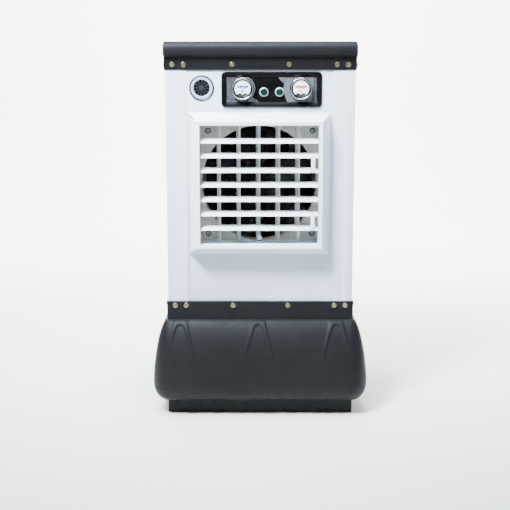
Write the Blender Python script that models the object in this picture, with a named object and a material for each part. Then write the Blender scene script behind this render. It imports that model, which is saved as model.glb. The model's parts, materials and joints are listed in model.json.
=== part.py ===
"""Evaporative cooler: tank on a stand, four grooved corner posts that hold the panels, a moulded cap,
a control panel, and a square air outlet with tilting louvers in front of swinging vanes and a fan.

Metres, +Z up. The front faces -Y. The origin is on the floor under the middle of the body.
"""

import math

import bmesh
import bpy
from mathutils import Matrix, Vector

# ---- clearances -------------------------------------------------------------------------------
GAP = 0.0003          # between faces that rest on each other
SLIDE_GAP = 0.0005    # round a piece that slides into a groove or over a rim
PIN_GAP = 0.0006      # round a turning pin

# ---- overall sizes ----------------------------------------------------------------------------
BODY_W = 0.610        # outside of the corner posts, across the front
BODY_D = 0.560        # outside of the corner posts, front to back
STAND_H = 0.045
TANK_H = 0.338        # tank, from the stand to the top of its rim
WALL_H = 0.753        # posts and panels that show between the tank and the cap
CAP_H = 0.089

# ---- tank and cap -----------------------------------------------------------------------------
TANK_WALL = 0.004
RIM_H = 0.060         # upright rim that wraps the feet of the posts
SIDE_BULGE = 0.048    # how far the tank swells past its rim
END_BULGE = 0.066
BULGE_RISE = 0.062    # widest level of the tank, above its floor
SHOULDER_POWER = 1.65 # roundness of the tank's shoulder
TANK_CORNER_R = 0.070
RIB_XS = (-0.264, -0.006, 0.252)
RIB_RISE = 0.0035     # raised ribs on the tank's front, at their tops
RIB_TOP_HALF = 0.018
RIB_FOOT_HALF = 0.060
RIB_BAND = 0.011
RIB_LENGTH = 0.155
LEDGE_W = 0.016       # shelf inside the rim that the posts stand on
LEDGE_T = 0.014
CAP_WALL = 0.003
CAP_SKIRT_H = 0.043
CAP_CORNER_R = 0.004
CAP_SIDE_LIP = 0.0012  # how far the cap stands out past its skirt at the sides, which are flat
CAP_END_LIP = 0.014   # and at its rolled front and rear edges
CAP_ROLL_R = 0.022
CAP_SIDE_EASE = 0.004
CAP_FIELD_INSET = 0.055
CAP_FIELD_DROP = 0.004
STAND_WALL = 0.022
STAND_LIP = 0.0045     # stand past the posts, flush with the tank's rim

# ---- posts and panels -------------------------------------------------------------------------
POST_FACE = 0.070     # width of a post on each of its two faces
POST_T = 0.011
POST_LIP = 0.002      # wall in front of the groove
POST_CORNER_R = 0.003
GROOVE_DEPTH = 0.007
FLUTE_W = 0.002
FLUTE_D = 0.0008
FLUTE_COUNT = 3
PANEL_T = 0.003
SLOT_H = 0.016        # air slots of the side and rear panels
SLOT_COUNT = 16
SLOT_BORDER = 0.035
SLOT_END_BORDER = 0.060
PAD_T = 0.045

# ---- air outlet -------------------------------------------------------------------------------
OUTLET_SIZE = 0.380   # clear width and height inside the frame
OUTLET_X = -0.0035    # outlet and fan from the middle of the cabinet
OUTLET_RISE = 0.388   # centre of the outlet above the tank's rim
FRAME_DEPTH = 0.066   # how far the frame stands out of the panel
FRAME_RIM = 0.012
BEVEL_RUN = 0.0285
FRAME_WALL = 0.003
FRAME_THROAT = 0.038  # how far the frame's inner wall reaches behind the panel
MITRE_GAP = 0.0004
LOUVER_COUNT = 7
LOUVER_CHORD = 0.036
LOUVER_T = 0.0022
LOUVER_TILT = math.radians(25)
LOUVER_MARGIN = 0.0507  # opening edge to the first louver's axis
LOUVER_LIFT = 0.0022    # middle louver above the outlet's middle
LOUVER_SET_BACK = 0.023
SPINE_R = 0.0027
PIVOT_R = 0.0024
PIVOT_REACH = 0.0024  # how far a pivot enters its wall
LINK_INSET = 0.0185    # outlet's edge to the middle of the link bars
LINK_W = 0.012
LINK_T = 0.002
LINK_PIN_R = 0.0014
LINK_ARM = 0.0105     # louver axis to link pin, along the chord
LINK_STAND_OFF = 0.0042
LINK_OVERRUN = 0.009
VANE_COUNT = 5
VANE_CHORD = 0.046
VANE_EDGE_T = 0.004
VANE_TAIL_T = 0.0016
VANE_TURN = math.radians(15)
VANE_MARGIN = 0.0620  # opening edge to the first vane's axis, before the shift
VANE_SHIFT = -0.004   # middle vane's axis from the outlet's middle
VANE_SET_BACK = 0.076
VANE_FOOT = 0.012     # room under the vanes for their tie bar
TIE_ARM = 0.017
TIE_PIN_R = 0.0015
TIE_W = 0.010
TIE_T = 0.0035
TIE_DROP = 0.0055     # vane foot to the top of the tie bar
GRIP_R = 0.009
GRIP_H = 0.019
GRIP_REACH = 0.018

# ---- fan --------------------------------------------------------------------------------------
SHROUD_T = 0.003
SHROUD_OVERLAP = 0.020
RING_CLEARANCE = 0.0015   # fan ring's hole to the outlet's edge
RING_DEPTH = 0.052
FAN_TIP_GAP = 0.008
FAN_BLADES = 5
HUB_R = 0.040
HUB_LENGTH = 0.036
BLADE_CHORD = 0.165
BLADE_PITCH = math.radians(17)
BLADE_T = 0.0025
SHAFT_R = 0.006
MOTOR_R = 0.056
MOTOR_LENGTH = 0.105
MOTOR_BOSS_R = 0.020
MOTOR_BOSS_H = 0.012
BRACKET_T = 0.004
BRACKET_W = 0.050
BRACKET_STAND = 0.085     # shroud to the bar that carries the motor

# ---- control panel ----------------------------------------------------------------------------
BEZEL_W = 0.323
BEZEL_H = 0.113
BEZEL_X = 0.0365
BEZEL_TOP_DROP = 0.006    # cap skirt to the bezel's top edge
BEZEL_BORDER = 0.0165
BEZEL_T = 0.008
BEZEL_CORNER_R = 0.014
BEZEL_REBATE = 0.005
FASCIA_T = 0.002
KNOB_R = 0.0365
KNOB_H = 0.022
KNOB_FACE_R = 0.0305
KNOB_DISH = 0.0025
KNOB_SPACING = 0.186
KNOB_LIFT = 0.0025        # knob axis above the bezel's middle
KNOB_STEM_R = 0.005
LAMP_R = 0.0152
LAMP_LENS_R = 0.0088
LAMP_H = 0.007
LAMP_SPACING = 0.050
LAMP_DROP = 0.0075
LAMP_STEM_R = 0.0075
BADGE_R = 0.0405
BADGE_X = -0.188
BADGE_DROP = 0.057
BADGE_T = 0.003
BADGE_RIM = 0.006
SWITCH_BOX_D = 0.050
SWITCH_BOX_WALL = 0.002

# ---- fasteners, water system, inlet -----------------------------------------------------------
SCREW_OUTER_INSET = 0.0235
SCREW_PAIR = 0.036
SCREW_HEAD_AF = 0.013
SCREW_HEAD_H = 0.005
SCREW_FLANGE_R = 0.0085
SCREW_FLANGE_H = 0.0012
SCREW_SHANK_R = 0.0022
SCREW_LENGTH = 0.012
CAP_SCREW_RISE = 0.0165
RIM_SCREW_DROP = 0.014
PUMP_W = 0.070
PUMP_H = 0.085
PUMP_BACK_X = 0.120
SPOUT_R = 0.008
SPOUT_H = 0.014
HOSE_R = 0.0105
HOSE_WALL = 0.002
DISTRIBUTOR_R = 0.009
DISTRIBUTOR_DROP = 0.022
DRAIN_R = 0.019
DRAIN_H = 0.010
DRAIN_STEM_R = 0.011
DRAIN_X = -0.150
GLAND_R = 0.011
GLAND_H = 0.018
GLAND_STEM_R = 0.007
GLAND_X = 0.150

# ---- levels and planes that follow from the sizes ---------------------------------------------
TANK_FLOOR = STAND_H + GAP
RIM_TOP = STAND_H + TANK_H
RIM_FOOT = RIM_TOP - RIM_H
LEDGE_TOP = RIM_FOOT + 0.002
WALL_TOP = RIM_TOP + WALL_H
TOP = WALL_TOP + CAP_H
CEILING = TOP - CAP_FIELD_DROP - CAP_WALL
HALF_W = BODY_W / 2
HALF_D = BODY_D / 2
PANEL_OUT = HALF_D - POST_LIP - GAP
PANEL_IN = PANEL_OUT - PANEL_T
SIDE_PANEL_OUT = HALF_W - POST_LIP - GAP
SIDE_PANEL_IN = SIDE_PANEL_OUT - PANEL_T
OUTLET_Z = RIM_TOP + OUTLET_RISE
OUTLET_HALF = OUTLET_SIZE / 2
FRAME_FRONT = -HALF_D - FRAME_DEPTH + POST_LIP
FRAME_BACK = -PANEL_OUT + FRAME_THROAT
THROAT_OUT = OUTLET_HALF + FRAME_WALL
LOUVER_Y = FRAME_FRONT + LOUVER_SET_BACK
LOUVER_PITCH = (OUTLET_SIZE - 2 * LOUVER_MARGIN) / (LOUVER_COUNT - 1)
LOUVER_HALF = OUTLET_HALF - 0.002
LINK_X = OUTLET_HALF - LINK_INSET
VANE_Y = FRAME_FRONT + VANE_SET_BACK
VANE_PITCH = (OUTLET_SIZE - 2 * VANE_MARGIN) / (VANE_COUNT - 1)
VANE_BOTTOM = OUTLET_Z - OUTLET_HALF + VANE_FOOT
VANE_TOP = OUTLET_Z + OUTLET_HALF - 0.002
RING_R = OUTLET_HALF - RING_CLEARANCE
FAN_R = RING_R - FAN_TIP_GAP
SHROUD_Y = FRAME_BACK + GAP
BEZEL_Z = WALL_TOP - BEZEL_TOP_DROP - BEZEL_H / 2
FASCIA_FRONT = -PANEL_OUT - BEZEL_T + 0.004
CAP_SKIN = SLIDE_GAP + CAP_WALL
RIM_SKIN = SLIDE_GAP + TANK_WALL

X_AXIS = Vector((1, 0, 0))
Y_AXIS = Vector((0, 1, 0))
Z_AXIS = Vector((0, 0, 1))


# ---- scene helpers ----------------------------------------------------------------------------
def clear_scene():
    for obj in list(bpy.data.objects):
        bpy.data.objects.remove(obj)


def material(name, colour, roughness, metallic=0.0):
    made = bpy.data.materials.new(name)
    made.use_nodes = True
    shader = made.node_tree.nodes["Principled BSDF"]
    shader.inputs["Base Color"].default_value = (*colour, 1.0)
    shader.inputs["Roughness"].default_value = roughness
    shader.inputs["Metallic"].default_value = metallic
    return made


def object_from(name, bm, paint=None, place=Matrix.Identity(4)):
    """An object from a bmesh, its normals turned outwards. With no paint it is a hidden cutter."""
    bmesh.ops.recalc_face_normals(bm, faces=bm.faces)
    mesh = bpy.data.meshes.new(name)
    bm.to_mesh(mesh)
    bm.free()
    obj = bpy.data.objects.new(name, mesh)
    bpy.context.scene.collection.objects.link(obj)
    obj.matrix_world = place
    if paint is None:
        obj.hide_render = True
        obj.display_type = "WIRE"
    else:
        mesh.materials.append(paint)
        mesh.shade_smooth()
        mesh.set_sharp_from_angle(angle=math.radians(35))
    return obj


def combine(obj, other, operation):
    """Adds or removes another object with a Boolean modifier; the other one stays as a hidden helper."""
    other.hide_render = True
    other.display_type = "WIRE"
    step = obj.modifiers.new(f"{operation.lower()}_{other.name}", "BOOLEAN")
    step.operation = operation
    step.object = other
    step.solver = "EXACT"
    return obj


# ---- shape helpers, each adds closed geometry to a bmesh --------------------------------------
def add_prism(bm, outline, axis, low, high):
    """A polygon given in the plane across an axis, extruded along it from low to high."""
    others = {"x": (1, 2), "y": (0, 2), "z": (0, 1)}[axis]
    along = "xyz".index(axis)

    def ring(level):
        points = []
        for u, v in outline:
            point = Vector((0, 0, 0))
            point[others[0]] = u
            point[others[1]] = v
            point[along] = level
            points.append(bm.verts.new(point))
        return points

    add_skin(bm, [ring(low), ring(high)])


def add_skin(bm, rings):
    """Faces between successive rings of vertices, with the first and last ring filled."""
    for first, second in zip(rings, rings[1:]):
        for i in range(len(first)):
            j = (i + 1) % len(first)
            bm.faces.new((first[i], first[j], second[j], second[i]))
    bm.faces.new(rings[0])
    bm.faces.new(list(reversed(rings[-1])))


def add_box(bm, low, high):
    outline = [(low[0], low[1]), (high[0], low[1]), (high[0], high[1]), (low[0], high[1])]
    add_prism(bm, outline, "z", low[2], high[2])


def add_rod(bm, start, end, radius, segments=12):
    """A cylinder between two points."""
    start, end = Vector(start), Vector(end)
    turn = (end - start).to_track_quat("Z", "Y").to_matrix().to_4x4()
    middle = Matrix.Translation((start + end) / 2)
    bmesh.ops.create_cone(bm, cap_ends=True, segments=segments, radius1=radius, radius2=radius,
                          depth=(end - start).length, matrix=middle @ turn)


def add_turned(bm, profile, segments, centre, axis=-Y_AXIS):
    """A solid of revolution about an axis through centre. The profile runs (radius, height along the
    axis) and starts and ends at radius 0."""
    turn = axis.to_track_quat("Z", "Y").to_matrix()
    centre = Vector(centre)
    rings = []
    for radius, height in profile[1:-1]:
        ring = []
        for i in range(segments):
            angle = 2 * math.pi * i / segments
            spot = Vector((radius * math.cos(angle), radius * math.sin(angle), height))
            ring.append(bm.verts.new(centre + turn @ spot))
        rings.append(ring)
    tips = [bm.verts.new(centre + turn @ Vector((0, 0, profile[k][1]))) for k in (0, -1)]
    for first, second in zip(rings, rings[1:]):
        for i in range(segments):
            j = (i + 1) % segments
            bm.faces.new((first[i], first[j], second[j], second[i]))
    for tip, ring in zip(tips, (rings[0], rings[-1])):
        for i in range(segments):
            bm.faces.new((tip, ring[i], ring[(i + 1) % segments]))


def rounded_rectangle(half_x, half_y, radius, arc_steps=4, centre=(0.0, 0.0)):
    """Points round a rectangle with rounded corners."""
    points = []
    for corner in range(4):
        sx = 1 if corner in (0, 3) else -1
        sy = 1 if corner in (0, 1) else -1
        for step in range(arc_steps + 1):
            angle = math.pi / 2 * (corner + step / arc_steps)
            points.append((centre[0] + sx * (half_x - radius) + radius * math.cos(angle),
                           centre[1] + sy * (half_y - radius) + radius * math.sin(angle)))
    return points


def add_shell(bm, levels, arc_steps=4):
    """A skin through rounded rectangles round the body. Each level is (side offset, end offset,
    corner radius, height)."""
    rings = []
    for side, end, radius, height in levels:
        outline = rounded_rectangle(HALF_W + side, HALF_D + end, radius, arc_steps)
        rings.append([bm.verts.new((x, y, height)) for x, y in outline])
    add_skin(bm, rings)


def add_slotted_plate(bm, half_width, low, high, front, back, holes):
    """An upright plate with rectangular holes. Each hole is (low x, high x, low z, high z)."""
    xs = sorted({-half_width, half_width, *(v for hole in holes for v in hole[:2])})
    zs = sorted({low, high, *(v for hole in holes for v in hole[2:])})

    def solid(i, k):
        if not (0 <= i < len(xs) - 1 and 0 <= k < len(zs) - 1):
            return False
        x, z = (xs[i] + xs[i + 1]) / 2, (zs[k] + zs[k + 1]) / 2
        return not any(a < x < b and c < z < d for a, b, c, d in holes)

    verts = {}

    def vert(i, k, y):
        key = (i, k, y)
        if key not in verts:
            verts[key] = bm.verts.new((xs[i], y, zs[k]))
        return verts[key]

    for i in range(len(xs) - 1):
        for k in range(len(zs) - 1):
            if not solid(i, k):
                continue
            for y in (front, back):
                bm.faces.new([vert(i, k, y), vert(i + 1, k, y), vert(i + 1, k + 1, y), vert(i, k + 1, y)])
            edges = (((i, k), (i + 1, k), (i, k - 1)), ((i, k + 1), (i + 1, k + 1), (i, k + 1)),
                     ((i, k), (i, k + 1), (i - 1, k)), ((i + 1, k), (i + 1, k + 1), (i + 1, k)))
            for first, second, neighbour in edges:
                if not solid(*neighbour):
                    bm.faces.new([vert(*first, front), vert(*second, front),
                                  vert(*second, back), vert(*first, back)])


# ---- stand, tank and cap ----------------------------------------------------------------------
def build_stand(paint):
    bm = bmesh.new()
    outer = rounded_rectangle(HALF_W + STAND_LIP, HALF_D + STAND_LIP, 0.004, 2)
    inner = rounded_rectangle(HALF_W - STAND_WALL, HALF_D - STAND_WALL, 0.002, 2)
    rings = []
    for outline, level in ((inner, 0.0), (outer, 0.0), (outer, STAND_H), (inner, STAND_H)):
        rings.append([bm.verts.new((x, y, level)) for x, y in outline])
    for first, second in zip(rings, rings[1:] + rings[:1]):
        for i in range(len(first)):
            j = (i + 1) % len(first)
            bm.faces.new((first[i], first[j], second[j], second[i]))
    object_from("base_stand", bm, paint)


def bulge_share(height):
    """How much of its full swell the tank has at a height, 0 to 1."""
    widest = TANK_FLOOR + BULGE_RISE
    if height >= widest:
        share = min(1.0, (height - widest) / (RIM_FOOT - widest))
        return (1 - share ** SHOULDER_POWER) ** (1 / SHOULDER_POWER)
    return math.sqrt(max(0.0, 1 - ((widest - height) / BULGE_RISE) ** 2))


def tank_level(height, inset=0.0):
    """The tank's offsets and corner radius at a height, inset by a wall."""
    share = bulge_share(height)
    radius = 0.008 + (TANK_CORNER_R - 0.008) * share
    return (RIM_SKIN + SIDE_BULGE * share - inset, RIM_SKIN + END_BULGE * share - inset, radius, height)


def bulge_heights(low, high, above, below):
    """Heights down the tank's swell, closer together where it turns. With none below, the widest
    level is left out and the heights are even."""
    widest = TANK_FLOOR + BULGE_RISE
    if below == 0:
        return [high + (low - high) * i / above for i in range(above + 1)]
    upper = [widest + (high - widest) * math.cos(math.pi / 2 * i / above) for i in range(above)]
    lower = [widest - (widest - low) * math.sin(math.pi / 2 * i / below) for i in range(below + 1)]
    return upper + lower


def build_tank(paint):
    inner_floor = TANK_FLOOR + TANK_WALL
    ledge_foot = LEDGE_TOP - LEDGE_T
    levels = [tank_level(h) for h in reversed(bulge_heights(TANK_FLOOR, RIM_FOOT, 8, 5))]
    levels += [(RIM_SKIN, RIM_SKIN, 0.008, RIM_TOP), (SLIDE_GAP, SLIDE_GAP, 0.004, RIM_TOP)]
    levels += [(SLIDE_GAP, SLIDE_GAP, 0.004, LEDGE_TOP), (-LEDGE_W, -LEDGE_W, 0.002, LEDGE_TOP)]
    levels += [(-LEDGE_W, -LEDGE_W, 0.002, ledge_foot)]
    inner_top = ledge_foot - 0.016
    inset = 1.25 * TANK_WALL
    levels += [tank_level(h, inset) for h in bulge_heights(inner_floor, inner_top, 5, 4)]
    bm = bmesh.new()
    add_shell(bm, levels)
    tank = object_from("tank", bm, paint)
    combine(tank, build_ribs(), "UNION")
    drain_y, drain_z = drain_place()
    boss = bmesh.new()
    add_rod(boss, (DRAIN_X, drain_y - DRAIN_H - 0.016, drain_z), (DRAIN_X, drain_y - 0.003, drain_z),
            DRAIN_R + 0.007, 24)
    combine(tank, object_from("drain_boss", boss), "UNION")
    recess = bmesh.new()
    add_rod(recess, (DRAIN_X, drain_y - DRAIN_H - 0.001, drain_z), (DRAIN_X, drain_y + 0.010, drain_z),
            DRAIN_R + 0.0025, 24)
    combine(tank, object_from("drain_recess", recess), "DIFFERENCE")
    holes = bmesh.new()
    add_rod(holes, (DRAIN_X, drain_y - 0.040, drain_z), (DRAIN_X, drain_y + 0.010, drain_z),
            DRAIN_STEM_R + SLIDE_GAP, 16)
    for x, y, z, _ in corner_screws():
        if z < RIM_TOP:
            add_screw_hole(holes, x, y, z)
    combine(tank, object_from("tank_holes", holes), "DIFFERENCE")


def rib_outline(x):
    """A raised band in the shape of an upside-down V with a rounded crotch, as (x, z)."""
    top, foot = RIM_FOOT - 0.002, RIM_FOOT - RIB_LENGTH
    half = [(RIB_TOP_HALF, top), (RIB_FOOT_HALF, foot), (RIB_FOOT_HALF - RIB_BAND * 0.3, foot)]
    crotch = top - RIB_BAND * 1.3
    half.append((RIB_TOP_HALF - RIB_BAND * 0.7 + 0.004, crotch - 0.012))
    half.append((RIB_TOP_HALF - RIB_BAND * 0.7, crotch - 0.003))
    return [(x + u, z) for u, z in half] + [(x, crotch)] + [(x - u, z) for u, z in reversed(half)]


def build_ribs():
    """The ribs, cut from a thin skin that lies over the tank's swell and sinks into it lower down."""
    heights = bulge_heights(RIM_FOOT - RIB_LENGTH - 0.004, RIM_FOOT - 0.001, 7, 0)
    foot = heights[-1]

    def rise(height):
        return -RIB_RISE * min(1.0, (height - foot) / (RIB_LENGTH * 0.7))

    outer = [tank_level(h, rise(h)) for h in heights]
    inner = [tank_level(h, TANK_WALL / 2) for h in reversed(heights)]
    bm = bmesh.new()
    rings = []
    for side, end, radius, height in outer + inner:
        ring = rounded_rectangle(HALF_W + side, HALF_D + end, radius)
        rings.append([bm.verts.new((px, py, height)) for px, py in ring])
    for first, second in zip(rings, rings[1:] + rings[:1]):
        for i in range(len(first)):
            j = (i + 1) % len(first)
            bm.faces.new((first[i], first[j], second[j], second[i]))
    skin = object_from("rib_skin", bm)
    bands = bmesh.new()
    for x in RIB_XS:
        add_prism(bands, rib_outline(x), "y", -HALF_D - 0.2, -HALF_D + 0.004)
    return combine(skin, object_from("rib_bands", bands), "INTERSECT")


def drain_place():
    """Where the drain's axis leaves the back of the tank, a little above its widest level."""
    return HALF_D + RIM_SKIN + END_BULGE, TANK_FLOOR + BULGE_RISE + 0.010


def build_drain_cap(paint):
    drain_y, drain_z = drain_place()
    seat = drain_y - DRAIN_H - 0.001 + GAP
    bm = bmesh.new()
    add_turned(bm, [(0, -0.018), (DRAIN_STEM_R, -0.018), (DRAIN_STEM_R, 0), (DRAIN_R, 0),
                    (DRAIN_R, DRAIN_H - 0.002), (DRAIN_R - 0.002, DRAIN_H), (0, DRAIN_H)],
               20, (DRAIN_X, seat, drain_z), Y_AXIS)
    object_from("drain_cap", bm, paint)


def build_cap(paint):
    step = WALL_TOP + CAP_SKIRT_H
    side, end = CAP_SKIN + CAP_SIDE_LIP, CAP_SKIN + CAP_END_LIP
    levels = [(SLIDE_GAP, SLIDE_GAP, 0.004, CEILING), (SLIDE_GAP, SLIDE_GAP, 0.004, WALL_TOP)]
    levels += [(CAP_SKIN, CAP_SKIN, CAP_CORNER_R, WALL_TOP)]
    levels += [(CAP_SKIN, CAP_SKIN, CAP_CORNER_R, step - 0.002)]
    levels += [(side - 0.0005, end - 0.004, CAP_CORNER_R, step)]
    roll_foot = TOP - CAP_ROLL_R
    levels += [(side, end, CAP_CORNER_R, step + 0.004)]
    for i in range(5):
        angle = math.pi / 2 * i / 4
        back = 1 - math.cos(angle)
        levels.append((side - CAP_SIDE_EASE * back, end - CAP_ROLL_R * back, CAP_CORNER_R,
                       roll_foot + CAP_ROLL_R * math.sin(angle)))
    levels += [(-CAP_FIELD_INSET, -CAP_FIELD_INSET, 0.020, TOP)]
    drop_inset = CAP_FIELD_INSET + 0.006
    levels += [(-drop_inset, -drop_inset, 0.020, TOP - CAP_FIELD_DROP)]
    bm = bmesh.new()
    add_shell(bm, levels)
    cap = object_from("top_cap", bm, paint)
    holes = bmesh.new()
    for x, y, z, _ in corner_screws():
        if z > WALL_TOP:
            add_screw_hole(holes, x, y, z)
    combine(cap, object_from("top_cap_holes", holes), "DIFFERENCE")


# ---- posts and panels -------------------------------------------------------------------------
def post_outline():
    """An L with rounded outer corner, shallow flutes on both faces and a panel groove in each end.
    The outer corner is at (0, 0) and the legs run along +u and +v."""
    leg = []
    for i in range(3):
        angle = math.pi / 4 * (1 + i / 2)
        leg.append((POST_CORNER_R * (1 - math.cos(angle)), POST_CORNER_R * (1 - math.sin(angle))))
    spacing = POST_FACE / (FLUTE_COUNT + 1)
    for i in range(FLUTE_COUNT):
        middle = spacing * (i + 1)
        leg += [(middle - FLUTE_W / 2, 0), (middle, FLUTE_D), (middle + FLUTE_W / 2, 0)]
    groove = PANEL_T + 2 * GAP
    leg += [(POST_FACE, 0), (POST_FACE, POST_LIP), (POST_FACE - GROOVE_DEPTH, POST_LIP)]
    leg += [(POST_FACE - GROOVE_DEPTH, POST_LIP + groove), (POST_FACE, POST_LIP + groove)]
    leg += [(POST_FACE, POST_T), (POST_T, POST_T)]
    other = [(v, u) for u, v in reversed(leg)]
    return leg + other[1:-1]


def build_posts(paint):
    for end, end_name in ((-1, "front"), (1, "rear")):
        for side, side_name in ((-1, "left"), (1, "right")):
            outline = [(side * (HALF_W - u), end * (HALF_D - v)) for u, v in post_outline()]
            bm = bmesh.new()
            add_prism(bm, outline, "z", LEDGE_TOP + GAP, CEILING - GAP)
            post = object_from(f"corner_post_{end_name}_{side_name}", bm, paint)
            if end < 0:
                holes = bmesh.new()
                for x, y, z, _ in corner_screws():
                    if x * side > 0:
                        add_screw_hole(holes, x, y, z)
                combine(post, object_from(f"post_holes_{side_name}", holes), "DIFFERENCE")


def panel_half(body_half):
    """Half the width of a panel whose edges sit in the posts' grooves."""
    return body_half - POST_FACE + GROOVE_DEPTH - SLIDE_GAP


def build_front_panel(paint):
    cut = THROAT_OUT + SLIDE_GAP
    inner_w, inner_h = bezel_opening()
    outlet = (OUTLET_X - cut, OUTLET_X + cut, OUTLET_Z - cut, OUTLET_Z + cut)
    controls = (BEZEL_X - inner_w / 2, BEZEL_X + inner_w / 2, BEZEL_Z - inner_h / 2, BEZEL_Z + inner_h / 2)
    bm = bmesh.new()
    add_slotted_plate(bm, panel_half(HALF_W), LEDGE_TOP + GAP, CEILING - GAP, -PANEL_OUT, -PANEL_IN,
                      [outlet, controls])
    object_from("front_panel", bm, paint)


def slot_holes(half_width):
    """Air slots spread evenly up a panel."""
    low, high = RIM_TOP + SLOT_END_BORDER, WALL_TOP - SLOT_END_BORDER
    pitch = (high - low - SLOT_H) / (SLOT_COUNT - 1)
    reach = half_width - SLOT_BORDER
    return [(-reach, reach, low + pitch * k, low + pitch * k + SLOT_H) for k in range(SLOT_COUNT)]


def build_pad_panels(panel_paint, pad_paint):
    """The three slotted panels and the wetted pad behind each."""
    sides = (("left", math.radians(-90), HALF_D, SIDE_PANEL_OUT),
             ("right", math.radians(90), HALF_D, SIDE_PANEL_OUT),
             ("rear", math.radians(180), HALF_W, PANEL_OUT))
    for name, turn, half, out in sides:
        place = Matrix.Rotation(turn, 4, "Z")
        bm = bmesh.new()
        add_slotted_plate(bm, panel_half(half), LEDGE_TOP + GAP, CEILING - GAP, -out, -out + PANEL_T,
                          slot_holes(half - POST_FACE))
        panel = object_from(f"{name}_panel", bm, panel_paint, place)
        if name == "rear":
            hole = bmesh.new()
            add_rod(hole, (GLAND_X, PANEL_IN - 0.01, gland_z()), (GLAND_X, PANEL_OUT + 0.01, gland_z()),
                    GLAND_STEM_R + GAP, 16)
            combine(panel, object_from("gland_hole", hole), "DIFFERENCE")
        pad_half = half - POST_FACE - SLIDE_GAP
        pad_front = -out + PANEL_T + GAP
        bm = bmesh.new()
        add_box(bm, (-pad_half, pad_front, pad_bottom()), (pad_half, pad_front + PAD_T, pad_top()))
        object_from(f"{name}_pad", bm, pad_paint, place)


def pad_bottom():
    return RIM_TOP + SLOT_END_BORDER - 0.020


def pad_top():
    return WALL_TOP - SLOT_END_BORDER + 0.020


def gland_z():
    return (RIM_TOP + pad_bottom()) / 2


def build_gland(paint):
    bm = bmesh.new()
    add_turned(bm, [(0, -0.014), (GLAND_STEM_R, -0.014), (GLAND_STEM_R, 0), (GLAND_R, 0),
                    (GLAND_R, GLAND_H * 0.45), (GLAND_R * 0.8, GLAND_H * 0.55),
                    (GLAND_R * 0.7, GLAND_H), (0, GLAND_H)],
               16, (GLAND_X, PANEL_OUT + GAP, gland_z()), Y_AXIS)
    object_from("cable_gland", bm, paint)


# ---- air outlet -------------------------------------------------------------------------------
def frame_section():
    """Section of the outlet frame as (distance from the outlet's centre, y): inner wall, front rim
    and sloped outside, open towards the panel."""
    rim = OUTLET_HALF + FRAME_RIM
    foot = rim + BEVEL_RUN
    foot_y = -PANEL_OUT - GAP
    inside = FRAME_FRONT + FRAME_WALL
    return [(OUTLET_HALF, FRAME_BACK), (OUTLET_HALF, FRAME_FRONT), (rim, FRAME_FRONT), (foot, foot_y),
            (foot - FRAME_WALL * 1.1, foot_y), (rim - FRAME_WALL * 0.6, inside), (THROAT_OUT, inside),
            (THROAT_OUT, FRAME_BACK)]


def build_frame(paint):
    """Four mitred pieces, with pivot holes for the louvers and the vanes."""
    turns = {"top": 0, "left": 90, "bottom": 180, "right": 270}
    centre = Matrix.Translation((0, 0, OUTLET_Z))
    for name, degrees in turns.items():
        bm = bmesh.new()
        rings = []
        for side in (-1, 1):
            rings.append([bm.verts.new((side * (u - MITRE_GAP), y, u)) for u, y in frame_section()])
        add_skin(bm, rings)
        turn = Matrix.Rotation(math.radians(-degrees), 4, "Y")
        piece = object_from(f"outlet_frame_{name}", bm, paint, centre @ turn)
        holes = bmesh.new()
        if name in ("left", "right"):
            sign = -1 if name == "left" else 1
            for k in range(LOUVER_COUNT):
                z = louver_z(k)
                add_rod(holes, (sign * (OUTLET_HALF - 0.004), LOUVER_Y, z),
                        (sign * (OUTLET_HALF + PIVOT_REACH + GAP), LOUVER_Y, z), PIVOT_R + PIN_GAP)
        else:
            sign = 1 if name == "top" else -1
            for k in range(VANE_COUNT):
                edge = OUTLET_Z + sign * OUTLET_HALF
                add_rod(holes, (vane_x(k), VANE_Y, edge - sign * 0.004),
                        (vane_x(k), VANE_Y, edge + sign * (PIVOT_REACH + GAP)), PIVOT_R + PIN_GAP)
        combine(piece, object_from(f"pivot_holes_{name}", holes), "DIFFERENCE")


def louver_z(k):
    """Height of a louver's axis, counted from the top."""
    return OUTLET_Z + OUTLET_HALF - LOUVER_MARGIN - LOUVER_PITCH * k + LOUVER_LIFT


def vane_x(k):
    """Place of a vane's axis, counted from the left."""
    return -OUTLET_HALF + VANE_MARGIN + VANE_PITCH * k + VANE_SHIFT


def linked_louvers():
    """Pairs of louvers joined by a link bar, by index."""
    return ((1, 2), (5, 6))


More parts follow.
